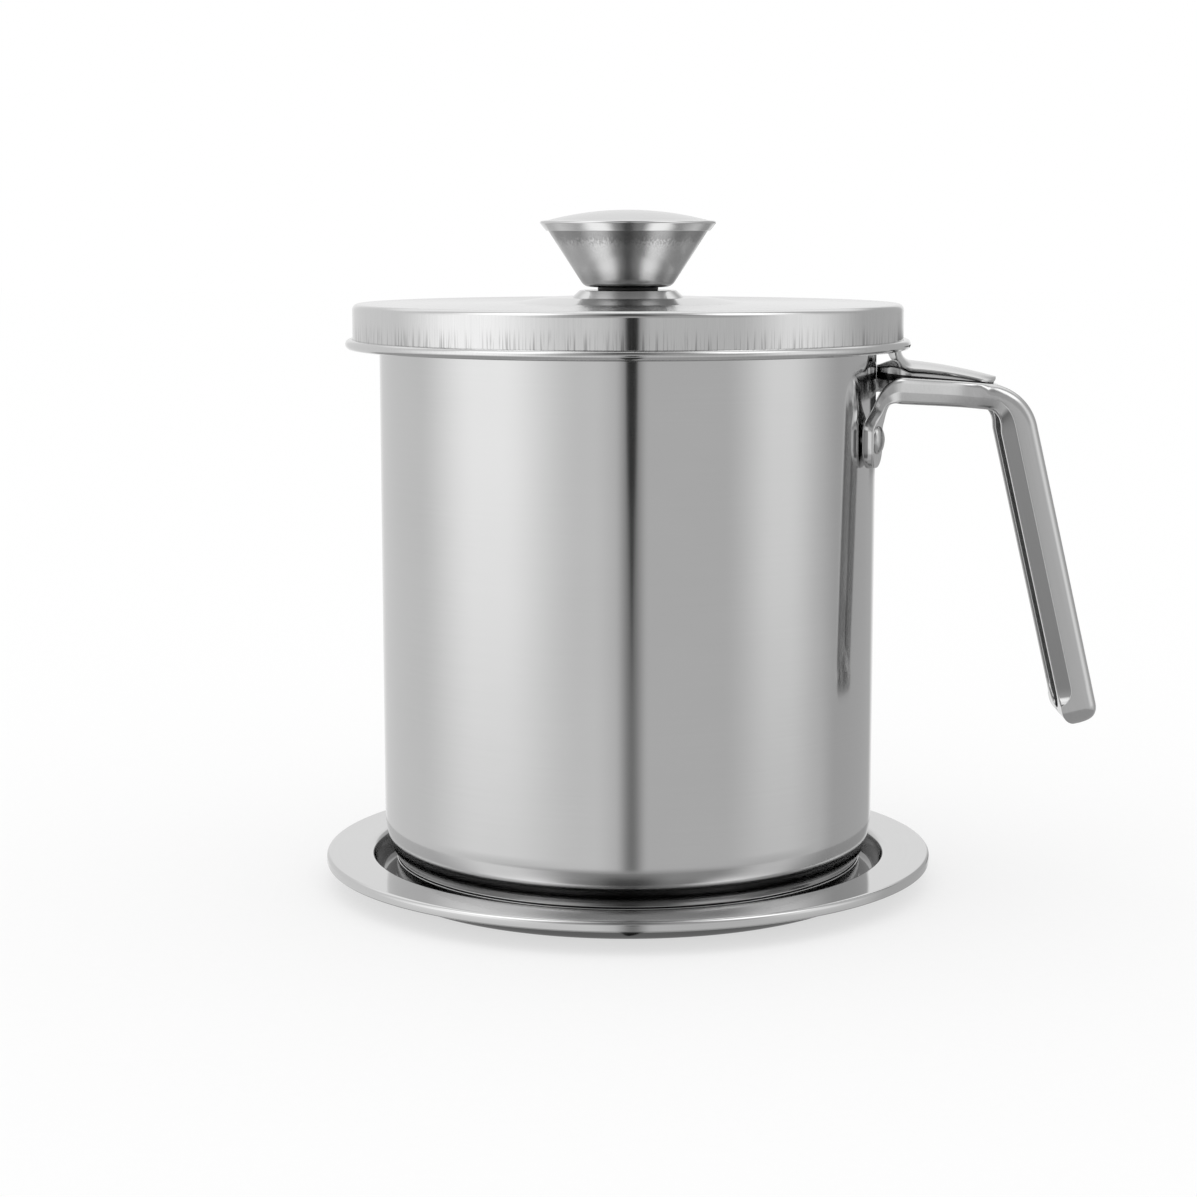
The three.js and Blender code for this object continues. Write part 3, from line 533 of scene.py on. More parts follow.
def lid_cover():
    bead_inner = lid_bead_radius - lid_sheet
    corners = xy(
        (screw_hole, lid_boss_z),
        (lid_boss_radius, lid_boss_z),
        (lid_boss_foot_radius, lid_top_z + lid_rise),
        (lid_radius, lid_top_z),
        (lid_radius, lid_bead_z),
    )
    top = rounded_line(corners, [lid_boss_bend, lid_boss_bend, lid_corner])[:-1]
    centre = Vector((lid_radius + bead_inner, lid_bead_z))
    bead = arc(centre, bead_inner, pi, pi + lid_bead_turn, curve_steps)
    return turned("lid_cover", sheet_outline([*top, *bead], lid_sheet))


def knob_foot():
    corners = xy(
        (screw_hole, knob_base_z),
        (knob_base_radius, knob_base_z),
        (knob_base_foot_radius, lid_boss_z),
        (knob_base_foot_radius - knob_base_sheet, lid_boss_z),
        (knob_base_radius - knob_base_sheet, knob_base_z - knob_base_sheet),
        (screw_hole, knob_base_z - knob_base_sheet),
    )
    line = rounded_line(corners, [knob_base_sheet, 0, 0, 0])
    return turned("knob_foot", line, knob_segments)


def knob_gasket():
    outline = ring_outline(screw_hole, knob_spacer_radius, knob_base_z, knob_foot_z, knob_spacer_bend)
    return turned("knob_gasket", outline, knob_segments)


def knob_cone():
    corners = xy(
        (screw_hole, knob_foot_z),
        (knob_foot_radius, knob_foot_z),
        (knob_neck_radius, knob_cone_top_z),
        (knob_neck_radius, knob_neck_z),
    )
    line = rounded_line(corners, [knob_foot_bend, knob_cap_rim_bend])
    return turned("knob_cone", sheet_outline(line, -knob_sheet), knob_segments)


def knob_dome():
    dome_radius = (knob_neck_radius**2 + knob_cap_crown**2) / (2 * knob_cap_crown)
    half_angle = asin(knob_neck_radius / dome_radius)
    centre = Vector((0, knob_cap_top_z - dome_radius))
    dome = arc(centre, dome_radius, pi / 2, pi / 2 - half_angle, run_steps)
    dome[0].x = 0
    hem_radius = knob_neck_radius + knob_hem_gap + knob_cap_sheet
    hem = xy((hem_radius + knob_cap_flare, knob_neck_z + knob_cap_rim_rise), (hem_radius, knob_cone_top_z))
    rim = rounded_line([dome[-1], *hem], [knob_cap_rim_bend])
    outline = sheet_outline([*dome, *rim[1:]], knob_cap_sheet)
    return turned("knob_dome", outline, knob_segments)


# Handle
grip_back_angle = pi / 2 - handle_slope
grip_bend_turn = grip_back_angle - grip_lean
grip_bend_length = grip_bend_turn * handle_bend_radius
grip_end = grip_bend_length + grip_length
grip_bend_centre = Vector((
    handle_bend_x - handle_bend_radius * cos(grip_back_angle),
    handle_top_z - handle_bend_radius * sin(grip_back_angle),
))


def grip_back(length):
    """The place and outward direction of the handle's back, a distance past the start of its bend."""
    turn = min(max(length / handle_bend_radius, 0), grip_bend_turn)
    angle = grip_back_angle - turn
    out = Vector((cos(angle), sin(angle)))
    along = Vector((out.y, -out.x))
    straight = length - turn * handle_bend_radius
    return grip_bend_centre + out * handle_bend_radius + along * straight, out


def lobe(width, top, bottom, cove, bends):
    """Half of the handle's section, as (distance in from its outer side, depth) points.

    The first list runs from the back round the outer side and the rim to the inner wall.
    The second closes it up the inner wall to the back.
    """
    cove_height, cove_inset = cove
    back_bend, crease_bend, rim_bend, inner_bend = bends
    corners = xy((0, top), (0, bottom - cove_height), (cove_inset, bottom), (width, bottom), (width, top))
    outer_back, outer_crease, rim_outer, rim_inner, inner_back = corners
    closing = rounded_corner(rim_inner, inner_back, outer_back, inner_bend, edge_steps)
    wall_depth = top + min(back_sheet + grip_groove_bend, (bottom - top) / 2)
    points = [
        closing[-1],
        *rounded_corner(inner_back, outer_back, outer_crease, back_bend, bend_steps, back_bend_reach),
        *rounded_corner(outer_back, outer_crease, rim_outer, crease_bend, edge_steps),
        *rounded_corner(outer_crease, rim_outer, rim_inner, rim_bend, edge_steps),
        *rounded_corner(rim_outer, rim_inner, inner_back, rim_bend, edge_steps),
        Vector((width, wall_depth)),
    ]
    return points, closing[:-1]


root_bends = (grip_back_bend, arm_corner_bend, arm_corner_bend, least_bend)
arm_cove = (arm_facet_height, arm_facet_inset)


def grip_section(length, half_width, groove, groove_share, trims=(0, 0)):
    """The handle's whole section across the grip, as (across, depth) points, near side first."""
    share = smooth(length / grip_bend_length)
    top = trims[0]
    bottom = mix(arm_height, grip_depth, share) - trims[1]
    left = clamp((grip_end - grip_cove_end - length) / grip_cove_fade)
    scoop = sqrt(left * (2 - left))
    cove = [
        max(mix(arm, grip, share) * scoop, least_bend)
        for arm, grip in zip(arm_cove, (grip_cove_height, grip_cove_inset))
    ]
    bends = (
        grip_back_bend,
        mix(arm_corner_bend, grip_crease_bend, share),
        mix(arm_corner_bend, grip_rim_bend, share),
        least_bend,
    )
    points, _ = lobe(half_width - groove, top, bottom, cove, bends)
    centre = Vector((half_width - groove + grip_groove_bend, points[-1].y))
    fillet = arc(centre, grip_groove_bend, pi, 1.5 * pi, edge_steps)[1:]
    half = [*points, *[Vector((min(point.x, half_width), point.y)) for point in fillet]]
    for point in half[len(points) - 1:]:
        point.y = mix(bottom, point.y, groove_share)
    near = [Vector((point.x - half_width, point.y)) for point in half]
    far = [Vector((-point.x, point.y)) for point in reversed(near)]
    return near + far, len(points)


def on_grip(length, outline):
    spot, out = grip_back(length)
    return [(spot.x - out.x * depth, across, spot.y - out.y * depth) for across, depth in outline]


lug_radius = pot_radius + fit_gap + lug_thickness / 2
lug_place = Vector((lug_radius * cos(lug_angle), lug_radius * sin(lug_angle)))
rail_root = Vector((handle_bend_x + arm_root_length, handle_width / 2 - rail_width / 2))
arm_reach = (lug_place - rail_root).length
arm_root_z = handle_top_z - arm_height / 2 / cos(handle_slope) - arm_root_length * handle_fall
arm_start = arm_reach * arm_root_length / (rail_root.x - lug_place.x)

# The arm's drop: a bend at the crest, a steep stretch that stands off from the wall, and a bend at its foot
steep_climb = lug_lean - pi / 2
crest_reach = arm_drop_radius * (sin(handle_slope) - sin(steep_climb))
crest_fall = arm_drop_radius * (cos(handle_slope) - cos(steep_climb))
foot_reach = lug_foot_radius * (1 + sin(steep_climb))
foot_fall = lug_foot_radius * cos(steep_climb)
bent_reach = arm_reach - crest_reach - foot_reach
bent_z = arm_root_z + bent_reach * handle_fall
steep_fall = bent_z - crest_fall - foot_fall - rivet_z - lug_foot_rise
steep_length = steep_fall / (handle_fall * cos(steep_climb) - sin(steep_climb))
arm_run = bent_reach - steep_length * cos(steep_climb)


def bend_places(start, radius, end, count):
    """Places along a downward bend of an arm, as (reach, height, climb)."""
    reach, z, climb = start
    return [
        (reach + radius * (sin(climb) - sin(angle)), z - radius * (cos(climb) - cos(angle)), angle)
        for angle in steps(climb, end, count)[1:]
    ]


def steep_place(start, length):
    reach, z, _ = start
    return reach + length * cos(steep_climb), z + length * sin(steep_climb), steep_climb


def off_wall(x, y, z):
    """A point of the handle, moved out where it would come too near to the pot's wall."""
    push = max(1, (pot_radius + fit_gap) / hypot(x, y))
    return x * push, y * push, z


def arm_ring(side, reach, z, climb, width, height, trim=0):
    share = reach / arm_reach
    spread = smooth((share - arm_splay_share) / (1 - arm_splay_share))
    heading = pi + spread * lug_angle
    ahead = Vector((cos(heading), sin(heading), 0))
    across = Vector((-ahead.y, ahead.x, 0))
    above = Vector((0, 0, cos(climb))) - ahead * sin(climb)
    centre = Vector((mix(rail_root.x, lug_place.x, share), mix(rail_root.y, lug_place.y, spread), z))
    settled = smooth((reach - arm_start) / arm_root_length)
    bend = min(arm_corner_bend, height * arm_corner_share)
    bends = [mix(root, bend, settled) for root in root_bends]
    facet = [size * height / arm_height for size in arm_cove]
    points, closing = lobe(width, trim, height - trim, facet, bends)
    ring = []
    for point in points + closing:
        x, y, z = off_wall(*(centre + across * (point.x - width / 2) + above * (height / 2 - point.y)))
        ring.append((x, y * side, z))
    return ring


def arm_rings(side):
    rings = []
    for reach in steps(arm_start, arm_run, curve_steps)[1:]:
        z = arm_root_z + reach * handle_fall
        rings.append(arm_ring(side, reach, z, handle_slope, rail_width, arm_height))
    crest = (arm_run, arm_root_z + arm_run * handle_fall, handle_slope)
    crest_places = bend_places(crest, arm_drop_radius, steep_climb, run_steps)
    for i, place in enumerate(crest_places):
        height = mix(arm_height, lug_thickness, smooth((i + 1) / run_steps))
        rings.append(arm_ring(side, *place, rail_width, height))
    lengths = steps(0, steep_length, bend_steps)[1:]
    steep_places = [steep_place(crest_places[-1], length) for length in lengths]
    foot_places = bend_places(steep_places[-1], lug_foot_radius, -pi / 2, lug_foot_steps)
    shares = steps(0, lug_steep_share, bend_steps)[1:] + steps(lug_steep_share, 1, lug_foot_steps)[1:]
    for place, share in zip([*steep_places, *foot_places], shares):
        width = mix(rail_width, lug_width, smooth(share))
        rings.append(arm_ring(side, *place, width, lug_thickness))
    for angle in steps(0, pi / 2, end_steps):
        shrink = 1 - cos(angle)
        z = lug_bottom_z + lug_end_length * (1 - sin(angle))
        width = lug_width - 2 * lug_end_bend * shrink
        trim = lug_end_thinning * shrink
        rings.append(arm_ring(side, arm_reach, z, -pi / 2, width, lug_thickness, trim))
    return rings


def grip_rings():
    """Rings down the bend and the grip, and the count of points in half of the first ring."""
    half_width = handle_width / 2
    groove = half_width - rail_width
    closed_groove = groove * groove_close_share
    groove_end = grip_end - grip_end_wall
    straight_end = grip_end - grip_end_length
    rings = []
    lengths = steps(0, grip_bend_length, grip_bend_steps)
    lengths += steps(grip_bend_length, groove_end - groove, run_steps)[1:]
    for length in lengths:
        outline, count = grip_section(length, half_width, groove, 1)
        rings.append(on_grip(length, outline))
    for angle in steps(0, pi / 2, end_steps)[1:]:
        length = min(groove_end - groove + groove * sin(angle), straight_end)
        width = max(groove * cos(angle), closed_groove)
        open_share = smooth((pi / 2 - angle) / groove_close_turn)
        outline, _ = grip_section(length, half_width, width, open_share)
        rings.append(on_grip(length, outline))
    for angle in steps(0, pi / 2, end_steps)[1:]:
        shrink = 1 - cos(angle)
        width = half_width - grip_end_side_bend * shrink
        trims = (grip_end_back_bend * shrink, grip_end_rim_bend * shrink)
        outline, _ = grip_section(straight_end, width, closed_groove, 0, trims)
        rings.append(on_grip(straight_end + grip_end_length * sin(angle), outline))
    return rings, count


def handle():
    skin = Skin()
    rings, count = grip_rings()
    rows = [skin.row(ring) for ring in rings]
    skin.join(*rows)
    skin.close(rows[-1])
    halves = {-1: rows[0][:count], 1: rows[0][::-1][:count]}
    inner_walls = {}
    _, closing = lobe(rail_width, 0, arm_height, arm_cove, root_bends)
    for side, half in halves.items():
        root = [Vector((side * (handle_width / 2 - point.x), point.y)) for point in closing]
        inner_walls[side] = skin.row(on_grip(0, root))
        arm = [half + inner_walls[side], *[skin.row(ring) for ring in arm_rings(side)]]
        skin.join(*arm)
        skin.close(arm[-1])
    skin.close([
        halves[-1][0],
        *reversed(inner_walls[-1]),
        halves[-1][-1],
        *rows[0][count:len(rows[0]) - count],
        halves[1][-1],
        *inner_walls[1],
        halves[1][0],
    ])
    return skin.piece("handle_pressing")


# Thumb plate
control_x = (
    (plate_foot_z + plate_foot_slope * plate_foot_x - plate_tip_z - plate_tip_slope * plate_tip_x)
    / (plate_foot_slope - plate_tip_slope)
)
plate_tip = Vector((plate_tip_x, plate_tip_z))
plate_control = Vector((control_x, plate_foot_z - plate_foot_slope * (control_x - plate_foot_x)))
plate_foot = Vector((plate_foot_x, plate_foot_z))
plate_foot_angle = atan(plate_foot_slope)
plate_lip_centre = Vector((
    plate_foot_x + plate_lip_radius * sin(plate_foot_angle),
    plate_foot_z + plate_lip_radius * cos(plate_foot_angle),
))
plate_lip_turn = (
    pi / 2 - plate_foot_angle - asin((plate_lip_centre.y - plate_lip_top_z) / plate_lip_radius)
)
plate_span = plate_round_x - (plate_lip_centre.x - plate_lip_radius)


def plate_half_width(x):
    past = (x - plate_tip_x + plate_tip_length) / plate_tip_length
    if past > 0:
        return plate_tip_half_width * sqrt(max(1 - past * past, 0))
    share = -past * plate_tip_length / plate_span
    return mix(plate_tip_half_width, plate_lip_half_width, share * share)


def ridge_station(x):
    """The point of the plate's ridge over x, and the direction into the sheet."""
    a = plate_tip.x - 2 * plate_control.x + plate_foot.x
    b = 2 * (plate_control.x - plate_tip.x)
    share = 2 * (plate_tip.x - x) / (-b + sqrt(b * b - 4 * a * (plate_tip.x - x)))
    first, second = plate_tip.lerp(plate_control, share), plate_control.lerp(plate_foot, share)
    along = (second - first).normalized()
    return first.lerp(second, share), Vector((-along.y, along.x))


def lip_station(turn):
    angle = -pi / 2 - plate_foot_angle - turn
    under = Vector((cos(angle), sin(angle)))
    return plate_lip_centre + under * plate_lip_radius, under


def thumb_plate():
    angles = steps(pi / 2 - plate_tip_start, 0, run_steps)[:-1]
    stations = [ridge_station(plate_tip_x - plate_tip_length * (1 - sin(angle))) for angle in angles]
    stations += [ridge_station(x) for x in steps(plate_round_x, plate_foot_x, curve_steps)[:-1]]
    stations += [lip_station(turn) for turn in steps(0, plate_lip_turn, plate_lip_steps)]
    skin = Skin()
    rows = []
    for spot, under in stations:
        half_width = plate_half_width(spot.x)
        drop = plate_crown_drop * min(half_width / plate_crown_half_width, 1)
        flat = half_width - plate_sheet / 2
        upper = [Vector((flat * share, drop * share * share)) for share in steps(-1, 1, run_steps)]
        lower = [point + Vector((0, plate_sheet)) for point in reversed(upper)]
        outline = [*upper, *round_end(upper[-1], lower[0], pi), *lower, *round_end(lower[-1], upper[0], pi)]
        ring = [(spot.x + under.x * down, across, spot.y + under.y * down) for across, down in outline]
        rows.append(skin.row(ring))
    skin.join(*rows)
    skin.close(reversed(rows[0]))
    skin.close(rows[-1])
    return skin.piece("thumb_plate_pressing")


# Web under the thumb plate
web_nose_x = pot_radius + fit_gap / 2 + web_nose_radius


def web_outline(inset):
    """The web's plan, moved inward."""
    radius = max(web_nose_radius - inset, 0)
    nose = arc(Vector((web_nose_x, 0)), radius, pi / 2, 1.5 * pi, curve_steps)
    tip_x = plate_tip_x - plate_sheet - inset
    tip = max(web_tip_half_width - inset, 0)
    bevel = tip / 2
    side = [nose[-1].lerp(Vector((tip_x - bevel, -tip)), share) for share in steps(0, 1, run_steps)[1:]]
    front = [Vector((tip_x, -tip + bevel)), Vector((tip_x, tip - bevel))]
    other = [Vector((point.x, -point.y)) for point in reversed(side)]
    return [*nose, *side, *front, *other]


def web_ridge(x):
    below = plate_sheet + web_under_plate
    if x > plate_foot_x:
        return ridge_station(min(x, plate_tip_x))[0].y - below
    share = max((plate_foot_x - x) / (plate_foot_x - pot_radius), 0)
    return plate_foot_z - below + web_nose_rise * sin(pi * min(share, 1)) ** 2


def web_row(inset, drop):
    """One row of the web's skin: its crown, rounded down near its edge."""
    row = []
    dip = max(web_edge_bend - inset, 0)
    edge = web_edge_bend - sqrt(web_edge_bend**2 - dip**2)
    for point in web_outline(inset + drop):
        z = web_ridge(point.x) - point.y**2 / (2 * web_crown_radius) - drop - edge
        row.append((point.x, point.y, z))
    return row


def web_foot(drop):
    row = []
    for x, y, z in web_row(0, drop):
        foot = handle_top_z - (x - handle_bend_x) * handle_fall - web_below_rail
        if x > handle_bend_x - fit_gap:
            foot = handle_top_z + fit_gap
        row.append((x, y, min(foot, z)))
    return row


def thumb_web():
    insets = [web_edge_bend * (1 - cos(angle)) for angle in steps(0, pi / 2, edge_steps)]
    insets += steps(web_edge_bend, web_nose_radius, end_steps)[1:]
    skin = Skin()
    feet = []
    for drop in (0, web_sheet):
        inner = [inset for inset in insets if inset + drop < web_nose_radius] + [web_nose_radius - drop]
        lines = [web_foot(drop), *[web_row(inset, drop) for inset in inner]]
        rows = [skin.row([off_wall(*point) for point in line]) for line in lines]
        skin.join(*rows)
        feet.append(rows[0])
    skin.join(*feet)
    return skin.piece("thumb_web_pressing")


# Rivets: turned pieces laid along a rivet's axis; height zero lies on the pot's axis
rivet_seat = pot_radius + fit_gap + lug_thickness - lug_end_thinning / 2
burr_outer = pot_inner_radius - burr_wall_gap
burr_inner = burr_outer - burr_thickness


def on_rivet_axis(name, outline, side):
    skin = turned_skin(outline, fastener_segments)
    along, across = cos(side * lug_angle), sin(side * lug_angle)
    skin.points = [(along * z - across * y, across * z + along * y, rivet_z - x) for x, y, z in skin.points]
    return skin.piece(name)


def rivet_cap(start, end, base, radius, height):
    quarter = arc(Vector((0, 0)), 1, start, end, bend_steps)
    return [Vector((share.x * radius, base + share.y * height)) for share in quarter]


def rivet(name, side):
    tail = burr_inner - fit_gap
    head = rivet_seat + fit_gap
    dome = rivet_cap(0, pi / 2, head, rivet_head_radius, rivet_head_height)
    end = rivet_cap(-pi / 2, 0, tail, rivet_tail_radius, rivet_tail_height)
    dome[-1].x = end[0].x = 0
    outline = [*end, *xy((rivet_radius, tail), (rivet_radius, head)), *dome]
    return on_rivet_axis(name, outline, side)


def burr(name, side):
    outline = ring_outline(rivet_radius + bore_gap, burr_radius, burr_inner, burr_outer, bore_gap)
    return on_rivet_axis(name, outline, side)


# Materials
class Value:
    """A node's output that adds, subtracts and multiplies like a number."""

    def __init__(self, nodes, socket):
        self.nodes, self.socket = nodes, socket

    def __add__(self, other):
        return self.nodes.math("ADD", self, other)

    def __sub__(self, other):
        return self.nodes.math("SUBTRACT", self, other)

    def __rsub__(self, other):
        return self.nodes.math("SUBTRACT", other, self)

    def __mul__(self, other):
        return self.nodes.math("MULTIPLY", self, other)

    __radd__ = __add__
    __rmul__ = __mul__


class Nodes:
    """Adds nodes to the tree of a material or world, each fed with plain numbers or other nodes' values."""

    def __init__(self, owner):
        owner.use_nodes = True
        self.owner = owner
        self.tree = owner.node_tree
        self.tree.nodes.clear()

    def add(self, kind, inputs=None, **settings):
        node = self.tree.nodes.new(kind)
        for key, value in settings.items():
            setattr(node, key, value)
        for key, value in (inputs or {}).items():
            if isinstance(value, Value):
                self.tree.links.new(value.socket, node.inputs[key])
            else:
                node.inputs[key].default_value = value
        return node

    def value(self, kind, inputs=None, output=0, **settings):
        return Value(self, self.add(kind, inputs, **settings).outputs[output])

    def math(self, operation, *values):
        return self.value("ShaderNodeMath", dict(enumerate(values)), operation=operation)

    def ramp(self, value, low, high, out_low, out_high):
        inputs = {"Value": value, "From Min": low, "From Max": high, "To Min": out_low, "To Max": out_high}
        return self.value("ShaderNodeMapRange", inputs, interpolation_type="SMOOTHSTEP")

    def swing(self, value, span, middle, reach):
        """A ramp from below a middle value to the same distance above it."""
        return self.ramp(value, *span, middle - reach, middle + reach)

    def noise(self, vector, scale, detail, roughness):
        inputs = {"Vector": vector, "Scale": scale, "Detail": detail, "Roughness": roughness}
        return self.value("ShaderNodeTexNoise", inputs, "Fac")

    def grey(self, value):
        return self.value("ShaderNodeCombineColor", {"Red": value, "Green": value, "Blue": value})

    def combine(self, x, y, z):
        return self.value("ShaderNodeCombineXYZ", {"X": x, "Y": y, "Z": z})

    def split(self, vector):
        parts = self.add("ShaderNodeSeparateXYZ", {"Vector": vector}).outputs
        return [Value(self, part) for part in parts]

    def place(self):
        return self.value("ShaderNodeTexCoord", output="Object")

    def radius(self, x, y):
        return self.math("SQRT", x * x + y * y)

    def surface(self, colour, roughness, height, relief, inputs):
        """A surface with a fine relief, joined to the material's output."""
        bump = self.value("ShaderNodeBump", {"Height": height, "Distance": relief * micron, "Strength": 1.0})
        finish = {"Base Color": self.grey(colour), "Roughness": roughness, "Normal": bump, **inputs}
        self.add("ShaderNodeOutputMaterial", {"Surface": self.value("ShaderNodeBsdfPrincipled", finish)})


# Grain: its pitch and length in millimetres, and how each noise is built, as its detail and roughness
grain_pitch = 0.25
grain_length = 30
grain_noise = (3, 0.6)
smudge_noise = (3, 0.55)
rubber_noise = (4, 0.6)
plain_noise = (2, 0.5)
smudge_scale = 35
smudge_tone = 0.006
roughness_swing = 0.12
quarter_turn = 0.25
rubber_skin_scale = 3000
rubber_relief = 10
rubber_roughness_swing = 0.08

# Spans of a noise's values that its ramps run over
core_span = (0.3, 0.7)
middle_span = (0.25, 0.75)
wide_span = (0.2, 0.8)
upper_span = (0.35, 0.7)
peak_span = (0.47, 0.7)

# Places with painted light: painted shade in the tray's well and the grip's coves, and a painted highlight
# on the creases beside them
well_edge = tray_rim_inner_radius - tray_rim_bend
well_blur = 0.4
# painted shade: the tone's share left in the tray's well
well_painted_shade_tone = 0.4
cove_angle = atan(grip_cove_inset / grip_cove_height)
cove_lean = sin(cove_angle)
cove_normal = Vector((-cove_lean * cos(grip_lean), cos(cove_angle), -cove_lean * sin(grip_lean)))
# painted highlight on the grip's creases and painted shade in its coves, by which way the surface faces
crease_facing = (0.915, 0.94)
crease_painted_highlight_tone = 1.3
cove_facing = (0.965, 0.985)
cove_painted_shade_tone = 0.42

# The painted shadow in the seam between the web and the arms, the scratches on the lid's skirt, and the
# painted shade on the knob's cone
seam_rise = 0.22
seam_fade = 0.11
# painted shadow in the seam just above the arms
seam_painted_shadow_tone = 0.06
scratch_pitch = 0.45
scratch_length = 14
scratch_depth = 0.42
band_height = 2.6
band_rag = 0.9
# painted shade under the knob's hem and at the foot of its cone
band_painted_shade_tone = 0.66
cone_foot_rise = 5
cone_foot_painted_shade_tone = 0.72


def grain_vector(nodes, run, pitch, length):
    """Coordinates in which noise is drawn out along the grain.

    A "round" grain runs about the pot's axis, an "upright" one along Z, and a "leaning" one down the grip.
    """
    place = nodes.place()
    if run == "leaning":
        turn = {"Vector": place, "Angle": grip_lean}
        place = nodes.value("ShaderNodeVectorRotate", turn, rotation_type="Y_AXIS")
    x, y, z = nodes.split(place)
    fine, coarse = 1 / (pitch * mm), 1 / (length * mm)
    if run == "round":
        return nodes.combine(x * coarse, y * coarse, (nodes.radius(x, y) + z) * fine)
    return nodes.combine(x * fine, y * fine, z * coarse)


def scratches(nodes):
    return nodes.noise(grain_vector(nodes, "upright", scratch_pitch, scratch_length), 1, *plain_noise)


def well_painted_shade(nodes):
    """The tone's share in the tray's well: painted shade that keeps it darker than its rim."""
    x, y, _ = nodes.split(nodes.place())
    inside = nodes.ramp(nodes.radius(x, y), (well_edge - well_blur) * mm, well_edge * mm, 1, 0)
    return 1 - inside * (1 - well_painted_shade_tone)


def cove_painted_shade_and_highlight(nodes):
    """The tone's share on the grip, set by which way its surface faces: painted shade on its coves, and a
    painted highlight on the creases beside them.
    """
    x, y, z = nodes.split(nodes.value("ShaderNodeNewGeometry", output="Normal"))
    inward = x * cove_normal.x + z * cove_normal.z
    facing = nodes.math("ABSOLUTE", y) * cove_normal.y + inward
    crease_highlight = nodes.ramp(facing, *crease_facing, 1, crease_painted_highlight_tone)
    return crease_highlight * nodes.ramp(facing, *cove_facing, 1, cove_painted_shade_tone / crease_painted_highlight_tone)


def seam_painted_shadow(nodes):
    """The tone's share on the web: a painted shadow, dark in the seam just above the arms."""
    x, _, z = nodes.split(nodes.place())
    level = (handle_top_z + handle_bend_x * handle_fall) * mm
    above = z + x * handle_fall - level
    return nodes.ramp(above, seam_rise * mm, (seam_rise + seam_fade) * mm, seam_painted_shadow_tone, 1)


def skirt_shade(nodes):
    """The tone's share on the lid's skirt: fine upright scratches that fade out upward."""
    _, _, height = nodes.split(nodes.place())
    bead_top = lid_bead_z + lid_bead_radius
    deep = nodes.ramp(scratches(nodes), *peak_span, 0, scratch_depth)
    low = nodes.ramp(height, bead_top * mm, (lid_top_z - 2 * lid_corner) * mm, 1, 0)
    on_skirt = nodes.ramp(height, (bead_top - fit_gap) * mm, bead_top * mm, 0, 1)
    return 1 - deep * (low * on_skirt)


def cone_painted_shade(nodes):
    """The tone's share on the knob's cone: a darker band under the hem, painted shade whose lower edge is
    ragged with brushed lines, and painted shade at its foot.
    """
    _, _, height = nodes.split(nodes.place())
    ragged = height + nodes.swing(scratches(nodes), core_span, 0, band_rag * mm)
    band_foot = knob_cone_top_z - band_height
    band = nodes.ramp(ragged, (band_foot - band_rag) * mm, (band_foot + band_rag) * mm, 1, band_painted_shade_tone)
    foot_low, foot_high = knob_foot_z + cone_foot_rise / 3, knob_foot_z + cone_foot_rise
    return band * nodes.ramp(height, foot_low * mm, foot_high * mm, cone_foot_painted_shade_tone, 1)


def steel(name, tone, roughness, run, mottle=0.02, relief=0.4, stretch=0, shade=None):
    """Stainless steel with a fine grain, faint smudges and a roughness that varies with both.

    Its relief is in thousandths of a millimetre. "stretch" draws reflections out along the pot's axis.
    "shade" is a function that gives the tone's share from place to place: painted shade and highlights on
    the tray, grip, web and knob, scratches on the lid's skirt.
    """
    nodes = Nodes(bpy.data.materials.new(name))
    grain = nodes.noise(grain_vector(nodes, run, grain_pitch, grain_length), 1, *grain_noise)
    smudge = nodes.noise(nodes.place(), smudge_scale, *smudge_noise)
    colour = nodes.swing(grain, middle_span, tone, mottle) + nodes.swing(smudge, core_span, 0, smudge_tone)
    if shade:
        colour = colour * shade(nodes)
    rough = nodes.swing(grain, wide_span, roughness, roughness * roughness_swing)
    rough = rough + nodes.swing(smudge, upper_span, 0, smudge_tone)
    inputs = {"Metallic": 1.0}
    if stretch:
        inputs["Anisotropic"] = stretch
        inputs["Anisotropic Rotation"] = quarter_turn
        inputs["Tangent"] = nodes.value("ShaderNodeTangent", direction_type="RADIAL", axis="Z")
    nodes.surface(colour, rough, grain, relief, inputs)
    return nodes.owner


def rubber(name, tones, roughness):
    """Matt rubber with a fine skin."""
    nodes = Nodes(bpy.data.materials.new(name))
    skin = nodes.noise(nodes.place(), rubber_skin_scale, *rubber_noise)
    rough = nodes.swing(skin, wide_span, roughness, rubber_roughness_swing)
    nodes.surface(nodes.ramp(skin, *core_span, *tones), rough, skin, rubber_relief, {})
    return nodes.owner


pot_steel = steel("pot_steel", 0.66, 0.1, "round", mottle=0.006, relief=0.05, stretch=0.7)
tray_steel = steel("tray_steel", 0.7, 0.08, "round", mottle=0.01, relief=0.05, shade=well_painted_shade)
lid_steel = steel("lid_steel", 0.72, 0.1, "upright", relief=0.2, stretch=0.6, shade=skirt_shade)
handle_steel = steel("handle_steel", 0.66, 0.16, "leaning", shade=cove_painted_shade_and_highlight)
web_steel = steel("web_steel", 0.72, 0.16, "leaning", shade=seam_painted_shadow)
plate_steel = steel("plate_steel", 0.7, 0.16, "leaning")
knob_steel = steel("knob_steel", 0.58, 0.2, "upright", mottle=0.05, relief=0.5, shade=cone_painted_shade)
dome_steel = steel("dome_steel", 0.7, 0.12, "round", relief=0.3)
strainer_steel = steel("strainer_steel", 0.66, 0.16, "round")
bare_steel = steel("bare_steel", 0.62, 0.25, "round", mottle=0.03)
dull_aluminium = steel("dull_aluminium", 0.6, 0.4, "round", mottle=0.05, relief=3)
black_rubber = rubber("black_rubber", tones=(0.016, 0.026), roughness=0.5)


# Assembly
def paint(piece, material):
    piece.data.materials.clear()
    piece.data.materials.append(material)


def dress(piece, body, slot, material, *nodes):
    paint(piece, material)
    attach(piece, body)
    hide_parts(*nodes)


